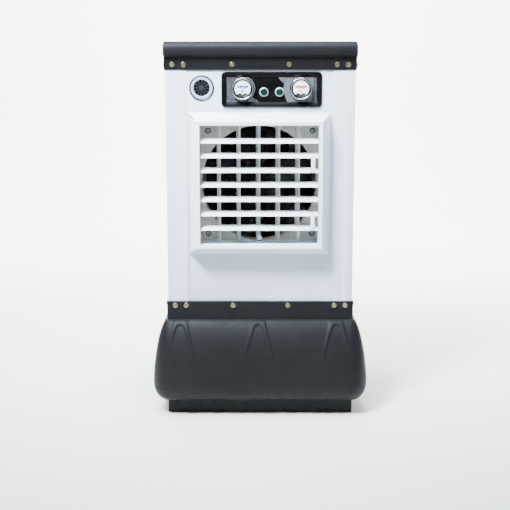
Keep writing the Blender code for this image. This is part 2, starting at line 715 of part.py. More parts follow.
def build_louver(k, paint):
    """A blade with a round spine that ends in two pivots. A linked one is notched at its front edge,
    with a pin across the notch."""
    linked = any(k in pair for pair in linked_louvers())
    half = LOUVER_CHORD / 2
    outline = [(-half, -LOUVER_T * 0.3), (-half, LOUVER_T * 0.3), (0, LOUVER_T / 2 + 0.0006),
               (half, LOUVER_T * 0.3), (half, -LOUVER_T * 0.3), (0, -LOUVER_T / 2)]
    place = Matrix.Translation((0, LOUVER_Y, louver_z(k))) @ Matrix.Rotation(LOUVER_TILT, 4, "X")
    bm = bmesh.new()
    add_prism(bm, outline, "x", -LOUVER_HALF, LOUVER_HALF)
    name = f"louver_{k + 1}"
    louver = object_from(name, bm, paint, place)
    if linked:
        notch = bmesh.new()
        room = LINK_W / 2 + 0.002
        add_box(notch, (LINK_X - room, -half - 0.01, -0.01), (LINK_X + room, -LINK_ARM + 0.0045, 0.01))
        combine(louver, object_from(f"{name}_notch", notch, place=place), "DIFFERENCE")
    reach = OUTLET_HALF + PIVOT_REACH
    spine = bmesh.new()
    add_rod(spine, (-reach, 0, 0), (reach, 0, 0), PIVOT_R)
    combine(louver, object_from(f"{name}_spine", spine, place=place), "UNION")
    if linked:
        pin = bmesh.new()
        room = LINK_W / 2 + 0.004
        add_rod(pin, (LINK_X - room, -LINK_ARM, 0), (LINK_X + room, -LINK_ARM, 0), LINK_PIN_R, 10)
        combine(louver, object_from(f"{name}_pin", pin, place=place), "UNION")


def link_pin(k):
    """The link pin of a louver, as (y, z)."""
    return (LOUVER_Y - LINK_ARM * math.cos(LOUVER_TILT), louver_z(k) - LINK_ARM * math.sin(LOUVER_TILT))


def build_link(name, pair, paint):
    """A bar that stands in front of two link pins, with an eye round each."""
    y, top = link_pin(pair[0])
    _, bottom = link_pin(pair[1])
    eye_r = LINK_PIN_R + PIN_GAP + 0.0014
    low_x, high_x = LINK_X - LINK_W / 2, LINK_X + LINK_W / 2
    bm = bmesh.new()
    back = y - LINK_STAND_OFF + LINK_T
    add_box(bm, (low_x, y - LINK_STAND_OFF, bottom - eye_r), (high_x, back, top + LINK_OVERRUN))
    link = object_from(name, bm, paint)
    for label, z in (("upper", top), ("lower", bottom)):
        eye = bmesh.new()
        add_rod(eye, (low_x, y, z), (high_x, y, z), eye_r, 12)
        combine(link, object_from(f"{name}_{label}_eye", eye), "UNION")
    for label, z in (("upper", top), ("lower", bottom)):
        bore = bmesh.new()
        add_rod(bore, (low_x - 0.01, y, z), (high_x + 0.01, y, z), LINK_PIN_R + PIN_GAP, 12)
        combine(link, object_from(f"{name}_{label}_bore", bore), "DIFFERENCE")


def build_vane(k, paint):
    """An upright blade, thick at its front edge, with a pivot at each end and a tie pin below."""
    half = VANE_CHORD / 2
    outline = [(-VANE_EDGE_T / 2, -half + 0.001), (-VANE_EDGE_T / 4, -half), (VANE_EDGE_T / 4, -half),
               (VANE_EDGE_T / 2, -half + 0.001), (VANE_EDGE_T / 2, -half + 0.004),
               (VANE_TAIL_T / 2, half), (-VANE_TAIL_T / 2, half), (-VANE_EDGE_T / 2, -half + 0.004)]
    place = Matrix.Translation((vane_x(k), VANE_Y, 0)) @ Matrix.Rotation(VANE_TURN, 4, "Z")
    name = f"vane_{k + 1}"
    bm = bmesh.new()
    add_prism(bm, outline, "z", VANE_BOTTOM, VANE_TOP)
    vane = object_from(name, bm, paint, place)
    floor, roof = OUTLET_Z - OUTLET_HALF - PIVOT_REACH, OUTLET_Z + OUTLET_HALF + PIVOT_REACH
    spine = bmesh.new()
    add_rod(spine, (0, 0, floor), (0, 0, roof), PIVOT_R)
    combine(vane, object_from(f"{name}_spine", spine, place=place), "UNION")
    pin = bmesh.new()
    add_rod(pin, (0, -TIE_ARM, VANE_BOTTOM - TIE_DROP - TIE_T - 0.002), (0, -TIE_ARM, VANE_BOTTOM + 0.003),
            TIE_PIN_R, 10)
    combine(vane, object_from(f"{name}_pin", pin, place=place), "UNION")


def tie_pin(k):
    """Place of a vane's tie pin, as (x, y)."""
    return (vane_x(k) + TIE_ARM * math.sin(VANE_TURN), VANE_Y - TIE_ARM * math.cos(VANE_TURN))


def grip_place():
    x, y = tie_pin(VANE_COUNT // 2)
    return x, y - GRIP_REACH


def build_tie_bar(paint, grip_paint):
    """The bar that joins the vanes' pins, and the finger grip on its tab."""
    top = VANE_BOTTOM - TIE_DROP
    first, last = tie_pin(0), tie_pin(VANE_COUNT - 1)
    bm = bmesh.new()
    outline = rounded_rectangle((last[0] - first[0]) / 2 + TIE_W / 2, TIE_W / 2, TIE_W / 2 - 0.0005, 3,
                                ((first[0] + last[0]) / 2, first[1]))
    add_prism(bm, outline, "z", top - TIE_T, top)
    bar = object_from("vane_tie_bar", bm, paint)
    grip_x, grip_y = grip_place()
    tab = bmesh.new()
    tab_half = GRIP_R * 0.6
    add_box(tab, (grip_x - tab_half, grip_y - GRIP_R * 0.5, top - TIE_T),
            (grip_x + tab_half, first[1], top))
    combine(bar, object_from("tie_bar_tab", tab), "UNION")
    holes = bmesh.new()
    for k in range(VANE_COUNT):
        x, y = tie_pin(k)
        add_rod(holes, (x, y, top - 0.01), (x, y, top + 0.01), TIE_PIN_R + PIN_GAP)
    combine(bar, object_from("tie_bar_holes", holes), "DIFFERENCE")
    bm = bmesh.new()
    add_turned(bm, [(0, 0), (GRIP_R * 0.55, 0), (GRIP_R, GRIP_H * 0.3), (GRIP_R, GRIP_H * 0.75),
                    (GRIP_R * 0.7, GRIP_H), (0, GRIP_H)], 14, (grip_x, grip_y, top + GAP), Z_AXIS)
    object_from("vane_grip", bm, grip_paint)


# ---- fan --------------------------------------------------------------------------------------
def shroud_half():
    return THROAT_OUT + SHROUD_OVERLAP


def build_shroud(paint):
    """A square plate behind the frame's inner walls, with a short round duct for the fan."""
    back = SHROUD_Y + SHROUD_T
    bm = bmesh.new()
    half = shroud_half()
    add_box(bm, (-half, SHROUD_Y, OUTLET_Z - half), (half, back, OUTLET_Z + half))
    shroud = object_from("fan_shroud", bm, paint)
    duct = bmesh.new()
    add_rod(duct, (0, SHROUD_Y + 0.001, OUTLET_Z), (0, back + RING_DEPTH, OUTLET_Z), RING_R + 0.003, 48)
    combine(shroud, object_from("duct_outside", duct), "UNION")
    bore = bmesh.new()
    add_rod(bore, (0, SHROUD_Y - 0.01, OUTLET_Z), (0, back + RING_DEPTH + 0.01, OUTLET_Z), RING_R, 48)
    combine(shroud, object_from("duct_inside", bore), "DIFFERENCE")


def fan_y():
    """Middle of the fan, inside its duct."""
    return SHROUD_Y + SHROUD_T + RING_DEPTH * 0.55


def build_fan(blade_paint, shaft_paint):
    bm = bmesh.new()
    front = fan_y() - HUB_LENGTH / 2
    add_turned(bm, [(0, 0), (HUB_R, 0), (HUB_R, HUB_LENGTH - 0.006), (HUB_R - 0.006, HUB_LENGTH),
                    (0, HUB_LENGTH)], 24, (0, front + HUB_LENGTH, OUTLET_Z), -Y_AXIS)
    fan = object_from("fan_blades", bm, blade_paint)
    for k in range(FAN_BLADES):
        blade = bmesh.new()
        add_blade(blade)
        place = Matrix.Translation((0, fan_y(), OUTLET_Z)) @ Matrix.Rotation(
            2 * math.pi * k / FAN_BLADES, 4, "Y")
        combine(fan, object_from(f"blade_{k + 1}", blade, place=place), "UNION")
    bore = bmesh.new()
    add_rod(bore, (0, front + 0.008, OUTLET_Z), (0, front + HUB_LENGTH + 0.01, OUTLET_Z),
            SHAFT_R + GAP + 0.0002, 16)
    combine(fan, object_from("hub_bore", bore), "DIFFERENCE")
    shaft = bmesh.new()
    add_rod(shaft, (0, front + 0.009, OUTLET_Z), (0, motor_front() + 0.030, OUTLET_Z), SHAFT_R, 16)
    object_from("fan_shaft", shaft, shaft_paint)


def add_blade(bm):
    """One twisted blade that reaches from inside the hub to the tip."""
    rings = []
    stations = 5
    for i in range(stations):
        share = i / (stations - 1)
        radius = HUB_R * 0.8 + (FAN_R - HUB_R * 0.8) * share
        chord = BLADE_CHORD * (0.45 + 0.55 * share)
        angle = BLADE_PITCH * (1.35 - 0.5 * share)
        half_angle = chord * math.cos(angle) / 2 / radius
        rise = chord * math.sin(angle) / 2
        ring = []
        for side in (-1, 1):
            for across in (-1, 0, 1):
                along = across * -side
                theta = along * half_angle
                thick = side * BLADE_T / 2 * (1 if across == 0 else 0.7)
                y = along * rise + thick
                ring.append(bm.verts.new((radius * math.sin(theta), y, radius * math.cos(theta))))
        rings.append(ring)
    add_skin(bm, rings)


def motor_front():
    return SHROUD_Y + SHROUD_T + BRACKET_STAND + BRACKET_T + GAP


def build_motor(paint, bracket_paint):
    front = motor_front()
    bm = bmesh.new()
    add_turned(bm, [(0, -MOTOR_BOSS_H), (MOTOR_BOSS_R, -MOTOR_BOSS_H), (MOTOR_BOSS_R, 0),
                    (MOTOR_R - 0.006, 0), (MOTOR_R, 0.006), (MOTOR_R, MOTOR_LENGTH - 0.012),
                    (MOTOR_R - 0.012, MOTOR_LENGTH), (0, MOTOR_LENGTH)],
               28, (0, front, OUTLET_Z), Y_AXIS)
    motor = object_from("fan_motor", bm, paint)
    bore = bmesh.new()
    add_rod(bore, (0, front - 0.02, OUTLET_Z), (0, front + 0.031, OUTLET_Z), SHAFT_R + PIN_GAP, 16)
    combine(motor, object_from("motor_bore", bore), "DIFFERENCE")
    build_bracket(bracket_paint)


def build_bracket(paint):
    """A bent bar from one side of the shroud to the other, with a hole for the motor's boss."""
    foot = SHROUD_Y + SHROUD_T + GAP
    bar = foot + BRACKET_STAND - GAP
    leg = RING_R + 0.0036
    outer = leg + BRACKET_T
    toe = shroud_half() - 0.001
    half = [(leg, bar), (leg, foot), (toe, foot), (toe, foot + BRACKET_T), (outer, foot + BRACKET_T),
            (outer, bar + BRACKET_T)]
    outline = half + [(-x, y) for x, y in reversed(half)]
    bm = bmesh.new()
    add_prism(bm, outline, "z", OUTLET_Z - BRACKET_W / 2, OUTLET_Z + BRACKET_W / 2)
    bracket = object_from("motor_bracket", bm, paint)
    hole = bmesh.new()
    add_rod(hole, (0, bar - 0.01, OUTLET_Z), (0, bar + 0.02, OUTLET_Z), MOTOR_BOSS_R + SLIDE_GAP, 24)
    combine(bracket, object_from("boss_hole", hole), "DIFFERENCE")


# ---- control panel ----------------------------------------------------------------------------
def bezel_opening():
    return BEZEL_W - 2 * BEZEL_BORDER, BEZEL_H - 2 * BEZEL_BORDER


def build_bezel(paint, fascia_paint):
    """A raised rounded border round the printed plate, which sits in its rebate."""
    inner_w, inner_h = bezel_opening()
    back = -PANEL_OUT - GAP
    front = back - BEZEL_T
    steps = 4
    outer = rounded_rectangle(BEZEL_W / 2, BEZEL_H / 2, BEZEL_CORNER_R, steps, (BEZEL_X, BEZEL_Z))
    crest = rounded_rectangle(BEZEL_W / 2 - 0.004, BEZEL_H / 2 - 0.004, BEZEL_CORNER_R - 0.003, steps,
                              (BEZEL_X, BEZEL_Z))
    lip = rounded_rectangle(inner_w / 2, inner_h / 2, 0.002, steps, (BEZEL_X, BEZEL_Z))
    rebate = rounded_rectangle(inner_w / 2 + BEZEL_REBATE, inner_h / 2 + BEZEL_REBATE, 0.002, steps,
                               (BEZEL_X, BEZEL_Z))
    shelf = back - FASCIA_T - 2 * GAP
    bm = bmesh.new()
    rings = []
    for outline, y in ((rebate, back), (outer, back), (outer, back - 0.003), (crest, front),
                       (lip, shelf - 0.0012), (lip, shelf), (rebate, shelf)):
        rings.append([bm.verts.new((x, y, z)) for x, z in outline])
    for first, second in zip(rings, rings[1:] + rings[:1]):
        for i in range(len(first)):
            j = (i + 1) % len(first)
            bm.faces.new((first[i], first[j], second[j], second[i]))
    object_from("control_bezel", bm, paint)
    fit = BEZEL_REBATE - SLIDE_GAP
    bm = bmesh.new()
    plate = rounded_rectangle(inner_w / 2 + fit, inner_h / 2 + fit, 0.002, 2, (BEZEL_X, BEZEL_Z))
    add_prism(bm, plate, "y", back - FASCIA_T, back)
    fascia = object_from("control_fascia", bm, fascia_paint)
    holes = bmesh.new()
    for x, z in knob_places():
        add_rod(holes, (x, back - 0.02, z), (x, back + 0.01, z), KNOB_STEM_R + PIN_GAP, 16)
    for x, z in lamp_places():
        add_rod(holes, (x, back - 0.02, z), (x, back + 0.01, z), LAMP_STEM_R + SLIDE_GAP, 16)
    combine(fascia, object_from("fascia_holes", holes), "DIFFERENCE")


def fascia_front():
    return -PANEL_OUT - GAP - FASCIA_T


def knob_places():
    z = BEZEL_Z + KNOB_LIFT
    return [(BEZEL_X - KNOB_SPACING / 2, z), (BEZEL_X + KNOB_SPACING / 2, z)]


def lamp_places():
    z = BEZEL_Z - LAMP_DROP
    return [(BEZEL_X - LAMP_SPACING / 2, z), (BEZEL_X + LAMP_SPACING / 2, z)]


def build_knobs(paint):
    """Round knobs with a dished face, a raised rim and a finger scoop at the bottom of the face."""
    seat = fascia_front() - GAP
    stem = FASCIA_T + 0.006
    profile = [(0, -stem), (KNOB_STEM_R, -stem), (KNOB_STEM_R, 0), (KNOB_R, 0), (KNOB_R, KNOB_H - 0.002),
               (KNOB_R - 0.002, KNOB_H), (KNOB_FACE_R, KNOB_H), (KNOB_FACE_R, KNOB_H - KNOB_DISH),
               (0, KNOB_H - KNOB_DISH)]
    for name, (x, z) in zip(("speed_knob", "pump_knob"), knob_places()):
        bm = bmesh.new()
        add_turned(bm, profile, 32, (x, seat, z))
        knob = object_from(name, bm, paint)
        scoop = bmesh.new()
        add_rod(scoop, (x, seat - KNOB_H + 0.007, z - KNOB_FACE_R * 0.86), (x, seat - KNOB_H - 0.01,
                z - KNOB_FACE_R * 0.86), KNOB_FACE_R * 0.36, 16)
        combine(knob, object_from(f"{name}_scoop", scoop), "DIFFERENCE")


def build_lamps(paint):
    seat = fascia_front() - GAP
    stem = FASCIA_T + 0.008
    profile = [(0, -stem), (LAMP_STEM_R, -stem), (LAMP_STEM_R, 0), (LAMP_R, 0), (LAMP_R, LAMP_H * 0.5),
               (LAMP_R - 0.003, LAMP_H), (LAMP_LENS_R, LAMP_H), (LAMP_LENS_R, LAMP_H - 0.002),
               (LAMP_LENS_R * 0.6, LAMP_H - 0.0005), (0, LAMP_H)]
    for name, (x, z) in zip(("power_lamp", "pump_lamp"), lamp_places()):
        bm = bmesh.new()
        add_turned(bm, profile, 20, (x, seat, z))
        object_from(name, bm, paint)


def build_badge(paint):
    z = WALL_TOP - BADGE_DROP
    inner = BADGE_R - BADGE_RIM
    profile = [(0, 0), (BADGE_R, 0), (BADGE_R, BADGE_T - 0.001), (BADGE_R - 0.001, BADGE_T),
               (inner, BADGE_T), (inner, BADGE_T - 0.001), (inner * 0.8, BADGE_T - 0.001),
               (inner * 0.79, BADGE_T), (0, BADGE_T)]
    bm = bmesh.new()
    add_turned(bm, profile, 32, (BADGE_X, -PANEL_OUT - GAP, z))
    object_from("round_badge", bm, paint)


def build_switch_box(paint):
    """An open-fronted box on the back of the front panel, round the switches' stems."""
    inner_w, inner_h = bezel_opening()
    half_w, half_h = inner_w / 2 + 0.006, inner_h / 2 + 0.006
    front = -PANEL_IN + GAP
    wall = SWITCH_BOX_WALL
    bm = bmesh.new()
    outer = rounded_rectangle(half_w, half_h, 0.004, 2, (BEZEL_X, BEZEL_Z))
    inner = rounded_rectangle(half_w - wall, half_h - wall, 0.002, 2, (BEZEL_X, BEZEL_Z))
    rings = []
    for outline, y in ((inner, front + SWITCH_BOX_D - wall), (inner, front), (outer, front),
                       (outer, front + SWITCH_BOX_D)):
        rings.append([bm.verts.new((x, y, z)) for x, z in outline])
    add_skin(bm, rings)
    object_from("switch_box", bm, paint)


# ---- fasteners --------------------------------------------------------------------------------
def corner_screws():
    """The screws through the cap's skirt and the tank's rim into the front posts, as (x, y of the
    surface under the head, z, name)."""
    found = []
    for row, z, skin in (("upper", WALL_TOP + CAP_SCREW_RISE, CAP_SKIN),
                         ("lower", RIM_TOP - RIM_SCREW_DROP, RIM_SKIN)):
        for side, side_name in ((-1, "left"), (1, "right")):
            for k, place in enumerate(("outer", "inner")):
                x = side * (HALF_W - SCREW_OUTER_INSET - SCREW_PAIR * k)
                found.append((x, -HALF_D - skin, z, f"{row}_{side_name}_{place}_screw"))
    return found


def add_screw_hole(bm, x, y, z):
    add_rod(bm, (x, y - 0.01, z), (x, y + SCREW_LENGTH + 0.001, z), SCREW_SHANK_R + GAP + 0.0001, 10)


def build_screws(paint):
    """Hexagon-headed screws with a washer face under the head."""
    for x, y, z, name in corner_screws():
        seat = y - GAP
        bm = bmesh.new()
        add_turned(bm, [(0, -SCREW_LENGTH), (SCREW_SHANK_R, -SCREW_LENGTH), (SCREW_SHANK_R, 0),
                        (SCREW_FLANGE_R, 0), (SCREW_FLANGE_R * 0.9, SCREW_FLANGE_H), (0, SCREW_FLANGE_H)],
                   12, (x, seat, z))
        screw = object_from(name, bm, paint)
        head = bmesh.new()
        add_rod(head, (x, seat - 0.0005, z), (x, seat - SCREW_HEAD_H, z),
                SCREW_HEAD_AF / 2 / math.cos(math.pi / 6), 6)
        combine(screw, object_from(f"{name}_head", head), "UNION")


# ---- water system -----------------------------------------------------------------------------
def pump_place():
    return PUMP_BACK_X, HALF_D - LEDGE_W - PUMP_W / 2 - 0.020


def build_pump(paint):
    x, y = pump_place()
    floor = TANK_FLOOR + TANK_WALL + GAP
    bm = bmesh.new()
    outline = rounded_rectangle(PUMP_W / 2, PUMP_W / 2, 0.010, 3, (x, y))
    add_prism(bm, outline, "z", floor, floor + PUMP_H)
    pump = object_from("water_pump", bm, paint)
    spout = bmesh.new()
    add_rod(spout, (x, y, floor + PUMP_H - 0.004), (x, y, floor + PUMP_H + SPOUT_H), SPOUT_R, 12)
    combine(pump, object_from("pump_spout", spout), "UNION")


def distributor_z():
    return CEILING - DISTRIBUTOR_DROP


def tube_along(name, points, radius, paint, sides=3):
    """A closed tube of round section along a line of points."""
    curve = bpy.data.curves.new(name, "CURVE")
    curve.dimensions = "3D"
    curve.bevel_depth = radius
    curve.bevel_resolution = sides
    curve.use_fill_caps = True
    spline = curve.splines.new("POLY")
    spline.points.add(len(points) - 1)
    for spot, point in zip(spline.points, points):
        spot.co = (*point, 1.0)
    obj = bpy.data.objects.new(name, curve)
    bpy.context.scene.collection.objects.link(obj)
    curve.materials.append(paint)
    return obj


def rounded_path(corners, radius, steps=5):
    """A line through corners, each one rounded."""
    points = [Vector(corners[0])]
    for before, corner, after in zip(corners, corners[1:], corners[2:]):
        corner = Vector(corner)
        start = corner + (Vector(before) - corner).normalized() * radius
        end = corner + (Vector(after) - corner).normalized() * radius
        for i in range(steps + 1):
            t = i / steps
            points.append((1 - t) ** 2 * start + 2 * t * (1 - t) * corner + t * t * end)
    return points + [Vector(corners[-1])]


def build_water_lines(hose_paint, pipe_paint):
    """The hose up from the pump and the pipe that waters the tops of the three pads."""
    x, y = pump_place()
    z = distributor_z()
    side_x = SIDE_PANEL_IN - PAD_T / 2 - GAP
    rear_y = PANEL_IN - PAD_T / 2 - GAP
    ends_y = -HALF_D + POST_FACE + 0.020
    tube_along("distributor_pipe", rounded_path(
        [(-side_x, ends_y, z), (-side_x, rear_y, z), (side_x, rear_y, z), (side_x, ends_y, z)], 0.030),
        DISTRIBUTOR_R, pipe_paint)
    foot = TANK_FLOOR + TANK_WALL + PUMP_H + SPOUT_H + 2 * GAP
    high = z - DISTRIBUTOR_R - GAP
    tube_along("riser_hose", rounded_path(
        [(x, y, foot), (x, y, high - 0.060), (x, rear_y, high - 0.030), (x, rear_y, high)], 0.014),
        HOSE_R, hose_paint)


def shift_since(made, distance):
    """Moves what was built after the named objects along X, with its hidden helpers."""
    for obj in bpy.data.objects:
        if obj.name not in made:
            obj.matrix_world = Matrix.Translation((distance, 0, 0)) @ obj.matrix_world


def main():
    clear_scene()
    white = material("white_plastic", (0.82, 0.85, 0.88), 0.35)
    grille = material("grille_white", (0.86, 0.88, 0.92), 0.35)
    dark = material("dark_plastic", (0.045, 0.048, 0.055), 0.45)
    black = material("black_plastic", (0.012, 0.012, 0.014), 0.35)
    fascia = material("fascia_print", (0.30, 0.31, 0.33), 0.40)
    chrome = material("chrome", (0.80, 0.80, 0.80), 0.12, 1.0)
    brass = material("zinc_brass", (0.62, 0.55, 0.36), 0.35, 1.0)
    grey = material("shroud_grey", (0.42, 0.44, 0.43), 0.50)
    steel = material("steel", (0.45, 0.46, 0.48), 0.35, 1.0)
    pad = material("pad_fibre", (0.50, 0.38, 0.20), 0.95)
    hose = material("hose_clear", (0.50, 0.56, 0.58), 0.30)
    badge = material("badge_grey", (0.25, 0.27, 0.30), 0.35)

    build_stand(black)
    build_tank(dark)
    build_drain_cap(black)
    build_posts(white)
    build_front_panel(white)
    build_pad_panels(white, pad)
    build_cap(dark)
    build_gland(black)
    made = {obj.name for obj in bpy.data.objects}
    build_frame(grille)
    for k in range(LOUVER_COUNT):
        build_louver(k, grille)
    for name, pair in zip(("upper_louver_link", "lower_louver_link"), linked_louvers()):
        build_link(name, pair, grille)
    for k in range(VANE_COUNT):
        build_vane(k, grille)
    build_tie_bar(grille, white)
    build_shroud(grey)
    build_fan(black, steel)
    build_motor(dark, steel)
    shift_since(made, OUTLET_X)
    build_bezel(black, fascia)
    build_knobs(chrome)
    build_lamps(chrome)
    build_badge(badge)
    build_switch_box(black)
    build_screws(brass)
    build_pump(black)
    build_water_lines(hose, white)


main()
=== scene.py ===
"""Looks of the evaporative cooler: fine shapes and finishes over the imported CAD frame."""

import json
import math

import bmesh
import bpy
from mathutils import Matrix, Vector

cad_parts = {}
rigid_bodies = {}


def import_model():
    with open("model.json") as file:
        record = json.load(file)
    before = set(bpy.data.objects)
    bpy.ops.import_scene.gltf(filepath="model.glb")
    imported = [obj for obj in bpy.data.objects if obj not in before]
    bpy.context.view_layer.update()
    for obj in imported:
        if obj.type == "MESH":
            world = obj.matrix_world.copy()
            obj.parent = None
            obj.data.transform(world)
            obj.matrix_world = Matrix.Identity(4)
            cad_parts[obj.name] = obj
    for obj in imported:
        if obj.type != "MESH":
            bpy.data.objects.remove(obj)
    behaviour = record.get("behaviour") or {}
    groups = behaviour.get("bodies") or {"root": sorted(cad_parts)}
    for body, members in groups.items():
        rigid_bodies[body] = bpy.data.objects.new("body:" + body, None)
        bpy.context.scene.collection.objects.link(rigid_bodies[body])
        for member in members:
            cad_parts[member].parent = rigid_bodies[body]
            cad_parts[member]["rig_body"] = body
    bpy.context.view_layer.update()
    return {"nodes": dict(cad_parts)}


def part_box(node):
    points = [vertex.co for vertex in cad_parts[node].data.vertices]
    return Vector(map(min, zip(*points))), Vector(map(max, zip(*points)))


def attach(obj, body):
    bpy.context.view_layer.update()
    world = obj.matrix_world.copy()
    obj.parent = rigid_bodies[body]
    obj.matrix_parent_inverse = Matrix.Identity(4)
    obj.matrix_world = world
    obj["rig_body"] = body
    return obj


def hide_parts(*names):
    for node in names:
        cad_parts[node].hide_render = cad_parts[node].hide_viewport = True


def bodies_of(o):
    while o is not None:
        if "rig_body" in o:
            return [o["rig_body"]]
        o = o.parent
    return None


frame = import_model()

# ---- camera and stage -------------------------------------------------------------------------
CAMERA_PLACE = (-0.017, -3.269, 1.027)
CAMERA_PITCH = math.radians(-9.3)
CAMERA_LENS = 64.9
SENSOR_WIDTH = 36.0
FLOOR_HALF = 14.0
WALL_Y = 7.0              # backdrop behind the floor, joined by a wide sweep
WALL_HIGH = 9.0
SWEEP_R = 3.5

# ---- sizes repeated from the CAD --------------------------------------------------------------
HALF_W = 0.305
HALF_D = 0.280
SLIDE_GAP = 0.0005
SKIN = 0.0045             # outside of the tank's rim from the body's outside
CAP_SKIN = 0.0035
TANK_FLOOR = 0.0453
RIM_TOP = 0.383
RIM_FOOT = 0.323
WALL_TOP = 1.136
TOP = 1.225
SIDE_BULGE = 0.048
END_BULGE = 0.066
BULGE_RISE = 0.062
SHOULDER_POWER = 1.65
LEDGE_TOP = 0.325         # of the ledge inside the rim
LEDGE_FOOT = 0.311
LEDGE_REACH = 0.016
INSIDE_TOP = 0.295        # where the inside starts to follow the swell
TANK_WALL = 0.006
PANEL_INSET = 0.0023      # panels' faces from the body's outside
SLOT_ROWS = 16
OUTLET_Z = 0.771
OUTLET_HALF = 0.190
OUTLET_X = -0.0035
LOUVERS = 7
VANES = 5
STAND_LIP = 0.0045        # stand's outside from the body's outside
STAND_WALL = 0.0265
KNOB_Z = 1.076
KNOB_XS = {"speed_knob": -0.0565, "pump_knob": 0.1295}
BADGE_FINS = 12
LAMP_Z = 1.066
LAMP_XS = {"power_lamp": 0.0115, "pump_lamp": 0.0615}
FASCIA_Y = -0.2800
WINDOW = (-0.1085, 0.1815, 1.0335, 1.1135)   # of the bezel: low x, high x, low z, high z

# ---- print of the control panel ---------------------------------------------------------------
SEAT = FASCIA_Y - 0.0003      # where knobs and lamps sit
MARK_R = 0.0455
MARK_SIZE = 0.0075
MARK_RAISE = 0.00004
MARK_ANGLES = (135, 225, 315, 45)
PRINT = 0.0001                # thickness of the print on the dials

# ---- ribs of the tank -------------------------------------------------------------------------
RIB_XS = (-0.264, -0.006, 0.252)
RIB_RISE = 0.0034
RIB_TOP_HALF = 0.020
RIB_FOOT_HALF = 0.062
RIB_BAND = 0.013
RIB_LENGTH = 0.165
RIB_EDGE = 0.0035

# ---- fasteners --------------------------------------------------------------------------------
SCREW_ROWS = ((WALL_TOP + 0.0165, CAP_SKIN), (RIM_TOP - 0.014, SKIN))
FRONT_SCREW_XS = (-0.2815, -0.2455, -0.090, 0.092, 0.2455, 0.2815)
SIDE_SCREW_YS = (-0.245, -0.205, 0.205, 0.245)
SCREW_HEAD_R = 0.0088
SHROUD_SCREW_X = 0.171
SHROUD_SCREW_Z = 0.169
SHROUD_SCREW_RISE = 0.0024    # middle of the four from the outlet's middle
LIFT = 0.0001                 # a screw's seat from the face under it

Y_AXIS = Vector((0, 1, 0))
Z_AXIS = Vector((0, 0, 1))
TIP_R = 0.00002           # stands for radius 0, so that no face has two corners in one place


# ---- materials --------------------------------------------------------------------------------
class Finish:
    """A node material built round one Principled shader, with textures in object coordinates."""

    def __init__(self, name, colour, roughness, metallic=0.0, specular=0.5):
        self.material = bpy.data.materials.new(name)
        self.material.use_nodes = True
        self.tree = self.material.node_tree
        self.shader = self.tree.nodes["Principled BSDF"]
        self.colour = (*colour, 1.0)
        self.shader.inputs["Base Color"].default_value = self.colour
        self.shader.inputs["Roughness"].default_value = roughness
        self.shader.inputs["Metallic"].default_value = metallic
        self.shader.inputs["Specular IOR Level"].default_value = specular
        self.space = self.tree.nodes.new("ShaderNodeTexCoord").outputs["Object"]
        self.height = None

    def stretch(self, scale):
        """Object coordinates stretched unevenly."""
        node = self.tree.nodes.new("ShaderNodeMapping")
        node.inputs["Scale"].default_value = scale
        self.tree.links.new(self.space, node.inputs["Vector"])
        return node.outputs["Vector"]

    def noise(self, scale, detail=4.0, roughness=0.55, space=None, distortion=0.0):
        """A soft random value."""
        node = self.tree.nodes.new("ShaderNodeTexNoise")
        node.inputs["Scale"].default_value = scale
        node.inputs["Detail"].default_value = detail
        node.inputs["Roughness"].default_value = roughness
        node.inputs["Distortion"].default_value = distortion
        self.tree.links.new(space or self.space, node.inputs["Vector"])
        return node.outputs["Fac"]

    def cells(self, scale):
        """Distance to the nearest of many scattered points."""
        node = self.tree.nodes.new("ShaderNodeTexVoronoi")
        node.inputs["Scale"].default_value = scale
        self.tree.links.new(self.space, node.inputs["Vector"])
        return node.outputs["Distance"]

    def range(self, value, low, high, start=0.3, end=0.7):
        """A value moved from start..end to low..high."""
        node = self.tree.nodes.new("ShaderNodeMapRange")
        node.inputs["From Min"].default_value = start
        node.inputs["From Max"].default_value = end
        node.inputs["To Min"].default_value = low
        node.inputs["To Max"].default_value = high
        self.tree.links.new(value, node.inputs["Value"])
        return node.outputs["Result"]

    def tint(self, value, other, start=0.3, end=0.7):
        """Mixes the base colour towards another one where the value is high."""
        node = self.tree.nodes.new("ShaderNodeMix")
        node.data_type = "RGBA"
        node.inputs[7].default_value = (*other, 1.0)
        socket = self.shader.inputs["Base Color"]
        if socket.is_linked:
            self.tree.links.new(socket.links[0].from_socket, node.inputs[6])
        else:
            node.inputs[6].default_value = self.colour
        self.tree.links.new(self.range(value, 0.0, 1.0, start, end), node.inputs[0])
        self.tree.links.new(node.outputs[2], socket)
        return self

    def gloss(self, value, low, high, start=0.3, end=0.7):
        """Roughness that runs from low to high with the value."""
        result = self.range(value, low, high, start, end)
        self.tree.links.new(result, self.shader.inputs["Roughness"])
        return self

    def bump(self, value, depth, strength=0.5):
        """Fine relief on top of any relief set before."""
        node = self.tree.nodes.new("ShaderNodeBump")
        node.inputs["Strength"].default_value = strength
        node.inputs["Distance"].default_value = depth
        self.tree.links.new(value, node.inputs["Height"])
        if self.height is not None:
            self.tree.links.new(self.height, node.inputs["Normal"])
        self.height = node.outputs["Normal"]
        self.tree.links.new(self.height, self.shader.inputs["Normal"])
        return self


def paint_white(name, colour, shade):
    """White paint or plastic with a slight sheen and a slight unevenness."""
    made = Finish(name, colour, 0.34)
    made.tint(made.noise(2.2, 3.0), shade, 0.35, 0.75)
    made.gloss(made.noise(14.0, 5.0), 0.27, 0.42)
    made.bump(made.noise(420.0, 2.0), 0.0002, 0.25)
    made.bump(made.noise(9.0, 2.0), 0.0016, 0.10)
    return made.material


